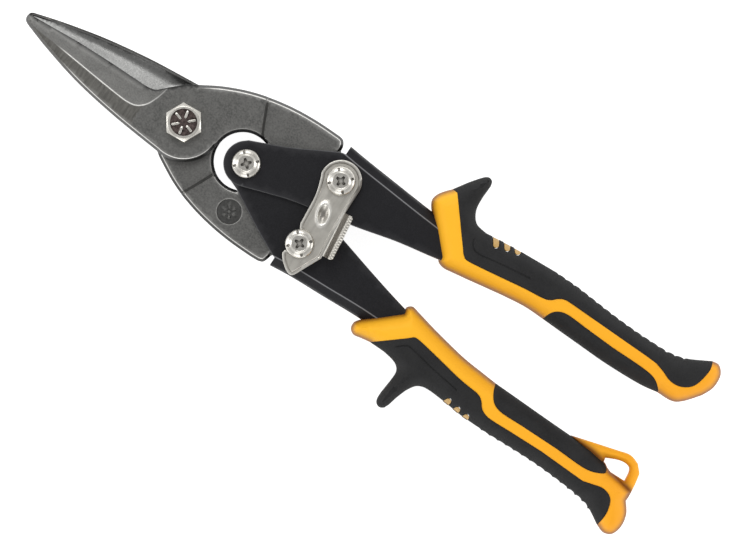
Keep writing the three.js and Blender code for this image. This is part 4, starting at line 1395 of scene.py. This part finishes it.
def latch():
    def shade(vertices):
        points = vertices[:, :2]
        across = across_tab(vertices)
        steep = np.maximum(
            0.78 * ease((across - 0.2) / 0.3) * ease((2.1 - across) / 0.3), 0.22 * ease((across - 2) / 0.3),
        )
        steep = steep * (vertices[:, 2] > LATCH_TOP - 0.3)
        groove = bell(reach(points, LATCH_OUTLINE) - LATCH_RIM - 0.15, 0.16)
        flat = (vertices[:, 0] < 57) & (vertices[:, 2] > LATCH_TOP - 1.4)
        pocket = 0.6 * np.clip(dimple_fall(points - (0.25, 0)) / DIMPLE_DEPTH, 0, 1)
        return np.maximum(steep, np.maximum(0.5 * groove, pocket) * flat)

    # Painted highlights along the plate's rim, on the bead at the tab's root and on the dimple's lip.
    def wear(vertices):
        across = across_tab(vertices)
        rim = 0.9 * bell(reach(vertices[:, :2], LATCH_OUTLINE) - 0.5, 0.25)
        rim = rim * ((across < -0.8) | (vertices[:, 1] > TAB_ROOT[1] + 0.3))
        bead = bell(across - 0.02, 0.25) * (vertices[:, 1] < TAB_ROOT[1])
        lip = 0.8 * np.clip(-dimple_fall(vertices[:, :2]) / DIMPLE_LIP, 0, 1)
        return np.max([rim, bead, lip], 0)

    return piece(
        "latch_plate", joined(latch_plate(), latch_tab()), [SATIN], "latch", "latch_arm", "latch_nickel",
        sharp=45, shade=shade, wear=wear,
    )


# ---- grips ----

GRIP_R = 5.0  # rounding of the grips' rims
GROOVE = 0.45  # parting groove between orange and black
GROOVE_DEPTH = 0.5
CROWN = 0.25
RIM_HALF = 1.5  # half the grips' thickness at the rim, without the crown
LINE_DEPTH = 0.35
LINE_HALF_WIDTH = 0.42
SOCKET_DEPTH = 0.3  # how far a panel falls towards its cuts for the pills
SOCKET_WIDTH = 0.35
PILL_RIM = 0.3

UPPER_RIM = chain(
    spline([83.7, 29.6], [82, 27.7], [80.5, 25.4], [80.1, 23.2], [81, 21.3], [82.4, 19.7]),
    spline([92.2, 9.2], [92.6, 7.9], [94, 7.1], [95.8, 6.9], [98, 7.2]),
    spline([104, 8.1], [116, 10], [124, 10.9], [130.9, 10.8]),
)
UPPER_PALM = spline([130.9, 10.8], [145, 10.3], [156, 10], [168, 10.4], [174.6, 11.4])
UPPER_TAIL = chain(
    spline([174.6, 11.4], [180, 11.6], [183.2, 13.7], [187.1, 18.5]),
    spline([187.1, 18.5], [188.8, 22.5], [188.6, 27], [186.4, 29.6], [183.9, 29.5]),
)
UPPER_BACK = chain(
    spline([183.9, 29.5], [178, 26.3], [174.7, 24.9], [170, 24]),
    spline([160, 23.9], [150, 24.3], [135, 25.5]),
    spline([126, 25.7], [110, 24.8], [100.5, 23.8]),
    spline([100.5, 23.8], [96.3, 24.7], [93.8, 28.3], [93.3, 33]),
    spline([93.5, 37.1], [93, 38.7], [91.8, 39.3], [90.5, 38.8], [89, 37.2], [86.8, 34.3]),
    run([83.7, 29.6]),
)
UPPER_SEAM = chain(
    run([83.7, 29.6], [85.6, 29.4], [98, 14.1]),
    spline([99.2, 13.1], [101.5, 13], [110, 14.1], [120, 15.5], [126.5, 16.15]),
    spline([128.2, 16.45], [129.8, 17.3], [131.4, 18.8], [133.4, 19.7], [136.3, 19.8], [143, 19.6]),
    run([166, 19]),
    spline([169, 18.8], [172, 17.9], [176, 16.5], [180, 17.1], [183.2, 20], [184.5, 26], [183.9, 29.5]),
)
UPPER_PALM_SEAM = chain(
    spline([130.9, 10.8], [131.2, 12.4], [132.3, 14.4], [134.3, 15.8], [137.4, 16.3], [143, 16]),
    spline([155, 15.4], [166, 15.3], [171, 14.5], [174, 12.4], [174.6, 11.4]),
)
LOWER_RIM = chain(
    spline([88.5, -26], [85.5, -26.5], [82.8, -26.9], [81, -25.6], [80.8, -23.4], [82.2, -21.5]),
    spline([92.6, -12.2], [92.3, -10.2], [93.8, -8.9], [96, -9.3]),
    spline([104, -11.2], [116, -13.5], [124, -14.3], [129.6, -14.8]),
)
LOWER_PALM = spline([129.6, -14.8], [140, -15.1], [150, -15.4], [159, -15.6])
LOWER_TAIL = chain(
    run([159, -15.6], [167, -15.9], [173, -16.8], [175.6, -18.3], [180, -19], [184.9, -20]),
    spline([185.3, -23.3], [187.8, -26.8], [188.6, -31], [187.5, -34.6], [184.8, -35.8], [181.8, -34.8]),
)
LOWER_BACK = chain(
    spline([181.8, -34.8], [176.5, -31.8], [171, -30.5], [160, -29.6], [150, -29.4], [136, -29.8]),
    spline([126, -29.6], [114, -28.5], [109.5, -29.2], [107.2, -31.9], [105.7, -35.8], [104.8, -39.3]),
    spline([104.1, -41], [102.8, -41.8], [101.3, -41.4], [100.5, -40], [100.4, -37.5]),
    spline([100.85, -33], [100.9, -29.6], [99.7, -27.7], [97.5, -26.7], [94, -26.1]),
    run([88.5, -26]),
)
LOWER_SEAM = chain(
    run([88.5, -26], [98, -18.2]),
    spline([99.4, -16.9], [101.5, -16.7], [110, -18.2], [119, -19.9], [126, -20.6]),
    spline([127.6, -21.1], [129, -22.3], [130.3, -23.9], [132.1, -24.9], [135, -25.3], [142, -25.1]),
    run([154, -24.9], [167, -25.4]),
    spline([170, -25.5], [173, -24.7], [177, -23.9], [180.5, -25.5], [182, -30], [181.8, -34.8]),
)
LOWER_PALM_SEAM = chain(
    spline([129.6, -14.8], [130.2, -17], [131.6, -19.4], [133.6, -21], [136.8, -21.7], [143, -21.6]),
    spline([158, -21.6], [168, -21.9], [173, -20.6], [174.7, -19], [172.5, -17], [167, -16.2]),
    run([159, -15.6]),
)
HANG_LOOP = loop(
    spline([159, -15.5], [166, -13.5], [174, -11.3], [178.5, -10.2], [182, -11.2]),
    spline([184.2, -13.6], [185, -18], [185.3, -23.3], [184, -25], [180, -22]),
    run([174, -20]),
)
HANG_HOLE = loop(
    spline([172.2, -15.4], [175.5, -13.9], [178.2, -13.3], [180.4, -13.8], [181.2, -15.4]),
    run([181.5, -18.2], [176.1, -18.3], [172.6, -16.9]),
    step=0.35,
)
LOOP_HALF = 4.5
LOOP_R = 2.6  # rounding of the hanging loop's rims
UPPER_LINE = spline([98.2, 20], [98.8, 18.5], [100, 17.3], [101.5, 16.8], [104, 17], [110, 18], [120, 19.3])
LOWER_LINE = spline([96.5, -22.5], [98.5, -20.8], [100, -20.2], [103, -20.7], [110, -22], [120, -23.4])
UPPER_PILLS = [(105.2, 22.3, 103.5, 25), (108.8, 23.4, 107.2, 26), (112.3, 24.3, 110.7, 26.9)]
LOWER_PILLS = [(120, -28, 119, -30.6), (123.9, -28.7, 123.1, -31.3), (127.6, -29.1, 127, -31.6)]
PILL_R = 0.95
DEEPER_RIBS_X = 166


def scalloped(back, low_x, high_x, pitch=3.05, height=0.36):
    """Adds a row of low ribs to the stretch of a rim between two places along the grip."""
    points = finer(back, 0.25, closed=False)
    travelled = np.concatenate([[0], np.cumsum(np.linalg.norm(np.diff(points, axis=0), axis=1))])
    share = ease((points[:, 0] - low_x) / 3) * ease((high_x - points[:, 0]) / 2)
    share = share * (points[:, 0] > low_x) * (points[:, 0] < high_x)
    share = share * (1 + 0.7 * ease((points[:, 0] - DEEPER_RIBS_X) / 4))
    wave = np.sqrt(abs(np.sin(math.pi * travelled / pitch))) - 0.75
    return points + sideways(points, closed=False) * (wave * height * share)[:, None]


def regions_of(runs, keep):
    """The outlines of a flat region that overlapping closed runs bound, where keep is true."""
    flat, triangles = flat_mesh([(r, True) for r in runs], np.zeros((0, 2)), keep)
    following = {int(a): int(b) for a, b in rim_of(triangles)}
    outlines = []
    while following:
        start, here = following.popitem()
        outline = [start]
        while here != start:
            outline.append(here)
            here = following.pop(here)
        outlines.append(flat[outline])
    return sorted(outlines, key=len, reverse=True)


def grip(name, rim, palm, tail, back, seam, palm_seam, line, pills, core_solid):
    """A grip's orange core and its two black panels. line is the groove engraved in the outer panel."""
    whole = loop(rim, palm, tail, back, step=0.6)
    outer = loop(seam, back, step=0.5)
    inner = loop(palm, palm_seam[::-1], step=0.5)
    band = loop(rim, palm_seam, tail, seam[::-1], step=0.5)
    seams = [seam, palm_seam]
    slots = [slot(*pill, PILL_R) for pill in pills]
    wide_slots = [slot(*pill, PILL_R + 0.18) for pill in pills]
    crown_rings = (whole, True, [*round_rings(GRIP_R, 7), 6.5])

    def crown(points, half):
        away = reach(points, whole)
        bulge = CROWN * (1 - ease(away / 8))
        return half - bulge - fillet(away, GRIP_R) * (half - RIM_HALF) / GRIP_R * 0.95

    def rim_shade(vertices):
        return 0.95 * bell(reach(vertices[:, :2], whole), 1.15)

    def panel(name_end, node_end, outline, cuts=(), engraved=()):
        def level(points):
            fall = GROOVE_DEPTH * (1 - ease(to_lines(points, *seams) / GROOVE))
            for groove in engraved:
                fall = fall + LINE_DEPTH * (1 - ease(to_lines(points, groove) / LINE_HALF_WIDTH))
            for cut in cuts:
                fall = fall + SOCKET_DEPTH * (1 - ease(reach(points, cut) / SOCKET_WIDTH))
            return crown(points, PANEL_HALF) - fall

        outlines = regions_of([outline, *cuts], within(outline, *cuts)) if cuts else [outline]
        rings = [crown_rings, *edge_rings(seams, [0.12, 0.25, 0.45])]
        rings += edge_rings(engraved, [0.0, 0.15, 0.3, 0.45])
        rings += [(cut, True, [0.15, 0.35]) for cut in cuts]
        piece(
            f"{name}_grip_{name_end}", slab(outlines, level, rings=rings, grid=1.3), [RUBBER],
            f"{name}_grip_{node_end}", f"{name}_arm", "grip_black", shade=rim_shade,
        )

    panel("back_panel", "outer_panel", outer, wide_slots, [line])
    panel("palm_panel", "inner_panel", inner)

    def core_level(points):
        return crown(points, CORE_HALF) - 0.12 * (1 - ease(to_lines(points, *seams) / 0.3))

    solids = [core_solid(band, core_level, [crown_rings, *edge_rings(seams, [0.15, 0.3])])]
    shell = offset(whole, -0.12)
    for pill in slots:
        bound = regions_of([pill, shell], lambda p, pill=pill: inside(p, pill) & inside(p, shell))[0]

        def pill_level(points, bound=bound):
            return crown(points, CORE_HALF + 0.2) - 0.9 * fillet(reach(points, bound), PILL_RIM)

        rings = [(bound, True, round_rings(PILL_RIM, 3)), (whole, True, round_rings(GRIP_R, 7))]
        solids.append(slab([bound], pill_level, rings=rings, grid=0.5))

    def paint(centres):
        return np.any([inside(centres[:, :2], wide) for wide in wide_slots], 0).astype(int)

    piece(
        f"{name}_grip_body", joined(*solids), [ORANGE, TAN], f"{name}_grip_core", f"{name}_arm",
        "grip_orange", paint=paint, shade=rim_shade,
    )


def plain_core(band, core_level, core_rings):
    return slab([band], core_level, rings=core_rings, grid=1.3)


def core_with_loop(band, core_level, core_rings):
    """The lower grip's core, whose end runs out into the thinner hanging loop."""
    def keep(points):
        in_band = inside(points, band)
        return in_band | (inside(points, HANG_LOOP) & ~inside(points, HANG_HOLE))

    def level(points):
        rim = np.minimum(reach(points, HANG_LOOP), reach(points, HANG_HOLE))
        in_loop = inside(points, HANG_LOOP) | (reach(points, HANG_LOOP) < 0.02)
        plate = np.where(in_loop, LOOP_HALF - 0.9 * fillet(rim, LOOP_R), 1)
        edge = signed(points, band)
        core = np.where(edge > -0.02, core_level(points), -9)
        soft = 0.35
        higher = np.maximum(core, plate)
        return higher + soft * np.log1p(np.exp(-abs(core - plate) / soft)) * ease((edge + 0.4) / 0.8)

    rings = [
        *core_rings,
        (HANG_LOOP, True, round_rings(LOOP_R, 6)),
        (HANG_HOLE, True, round_rings(LOOP_R, 6)),
        (band, True, [0.06, 0.35, 0.8, 1.4]),
    ]
    return slab(regions_of([band, HANG_LOOP, HANG_HOLE], keep), level, rings=rings, grid=1.1)


# ---- building ----

front_blade()
rear_blade()
pivot_bolt()
washer("pivot_washer_ring", "pivot_washer", "front_jaw", MAIN_PIVOT, BOLT_HOLE_R)
nut("pivot_nut_hexagon", "pivot_nut", "front_jaw", MAIN_PIVOT, BOLT_FLATS, BOLT_HOLE_R)

upper_handle()
lower_handle()
for pin, body, centre, angle in (
    ("fulcrum", "upper_arm", FULCRUM, 48),
    ("upper_link", "upper_arm", UPPER_LINK, 82),
    ("lower_link", "lower_arm", LOWER_LINK, 86),
):
    pan_screw(f"{pin}_screw_cross", f"{pin}_screw", body, centre, angle)
    nut(f"{pin}_lock_nut", f"{pin}_nut", body, centre, LOCK_NUT_FLATS, PIN_HOLE_R, LOCK_NUT_COLLAR)
washer("fulcrum_sleeve_tube", "fulcrum_sleeve", "upper_arm", FULCRUM, PIN_HOLE_R)
return_spring()
latch()
washer("latch_friction_washer", "latch_washer", "upper_arm", UPPER_LINK, PIN_HOLE_R)

grip(
    "upper", UPPER_RIM, UPPER_PALM, UPPER_TAIL, scalloped(UPPER_BACK, 125, 178),
    UPPER_SEAM, UPPER_PALM_SEAM, UPPER_LINE, UPPER_PILLS, plain_core,
)
grip(
    "lower", LOWER_RIM, LOWER_PALM, LOWER_TAIL, scalloped(LOWER_BACK, 131, 178),
    LOWER_SEAM, LOWER_PALM_SEAM, LOWER_LINE, LOWER_PILLS, core_with_loop,
)

# ---- stage, light and camera ----

VIEW_CENTRE = Vector((0.0781, -0.0071, SHEAR_Z * MM))
VIEW_TURN = 33.4
CAMERA_HEIGHT = 2.2
VIEW_WIDTH = 0.2412
SENSOR = 36.0
RIGHT = Vector((*heading(VIEW_TURN), 0))
UPWARDS = Vector((*heading(VIEW_TURN + 90), 0))


def camera():
    data = bpy.data.cameras.new("camera")
    data.sensor_width = SENSOR
    data.lens = SENSOR * CAMERA_HEIGHT / VIEW_WIDTH
    data.clip_end = 10
    made = in_scene("camera", data)
    turn = Matrix((RIGHT, UPWARDS, Vector((0, 0, 1)))).transposed().to_4x4()
    made.matrix_world = Matrix.Translation(VIEW_CENTRE + Vector((0, 0, CAMERA_HEIGHT))) @ turn
    bpy.context.scene.camera = made


def softbox(name, across, up, height, size, power):
    """A square softbox that faces the tool, at distances to the right of and above the view's centre."""
    data = bpy.data.lights.new(name, "AREA")
    data.shape = "SQUARE"
    data.size = size
    data.energy = power
    made = in_scene(name, data)
    made.location = VIEW_CENTRE + RIGHT * across + UPWARDS * up + Vector((0, 0, height))
    made.rotation_euler = (VIEW_CENTRE - made.location).to_track_quat("-Z", "Y").to_euler()


def white_floor():
    """A white floor that stays white under the tool."""
    white, shader = material("floor white", (0.5, 0.5, 0.5), 0.9, 0.0, 0.0)
    shader.inputs["Emission Color"].default_value = (1, 1, 1, 1)
    shader.inputs["Emission Strength"].default_value = 0.9
    mesh = bpy.data.meshes.new("floor")
    half = 3
    corners = [(-half, -half, 0), (half, -half, 0), (half, half, 0), (-half, half, 0)]
    mesh.from_pydata(corners, [], [(0, 1, 2, 3)])
    mesh.materials.append(white)
    made = in_scene("floor", mesh)


# How bright the room is, by the height of the direction: 0 at the horizon and 1 overhead.
ROOM = [(0.0, 0.85), (0.3, 0.85), (0.55, 0.68), (0.8, 0.5), (1.0, 0.5)]


def surroundings():
    """A soft white room that is dimmer overhead, as round a camera."""
    world = bpy.data.worlds.new("room")
    world.use_nodes = True
    direction = node(world, "TexCoord").outputs["Generated"]
    height = node(world, "SeparateXYZ", {"Vector": direction}).outputs["Z"]
    brightness = node(world, "ValToRGB", {"Fac": height})
    stops = brightness.color_ramp.elements
    while len(stops) < len(ROOM):
        stops.new(0.5)
    for stop, (place, value) in zip(stops, ROOM):
        stop.position = place
        stop.color = (value, value, value, 1)
    background = world.node_tree.nodes["Background"]
    link(world, brightness.outputs["Color"], background.inputs["Color"])
    bpy.context.scene.world = world


camera()
softbox("key softbox", -0.1, 0.62, 0.82, 0.6, 3.2)
softbox("left softbox", -1.0, 0.1, 0.55, 0.6, 2.4)
softbox("right softbox", 1.0, -0.1, 0.5, 0.5, 1.8)
softbox("low softbox", -0.2, -0.95, 0.6, 0.6, 1.8)
white_floor()
surroundings()
bpy.context.scene.view_settings.view_transform = "Standard"
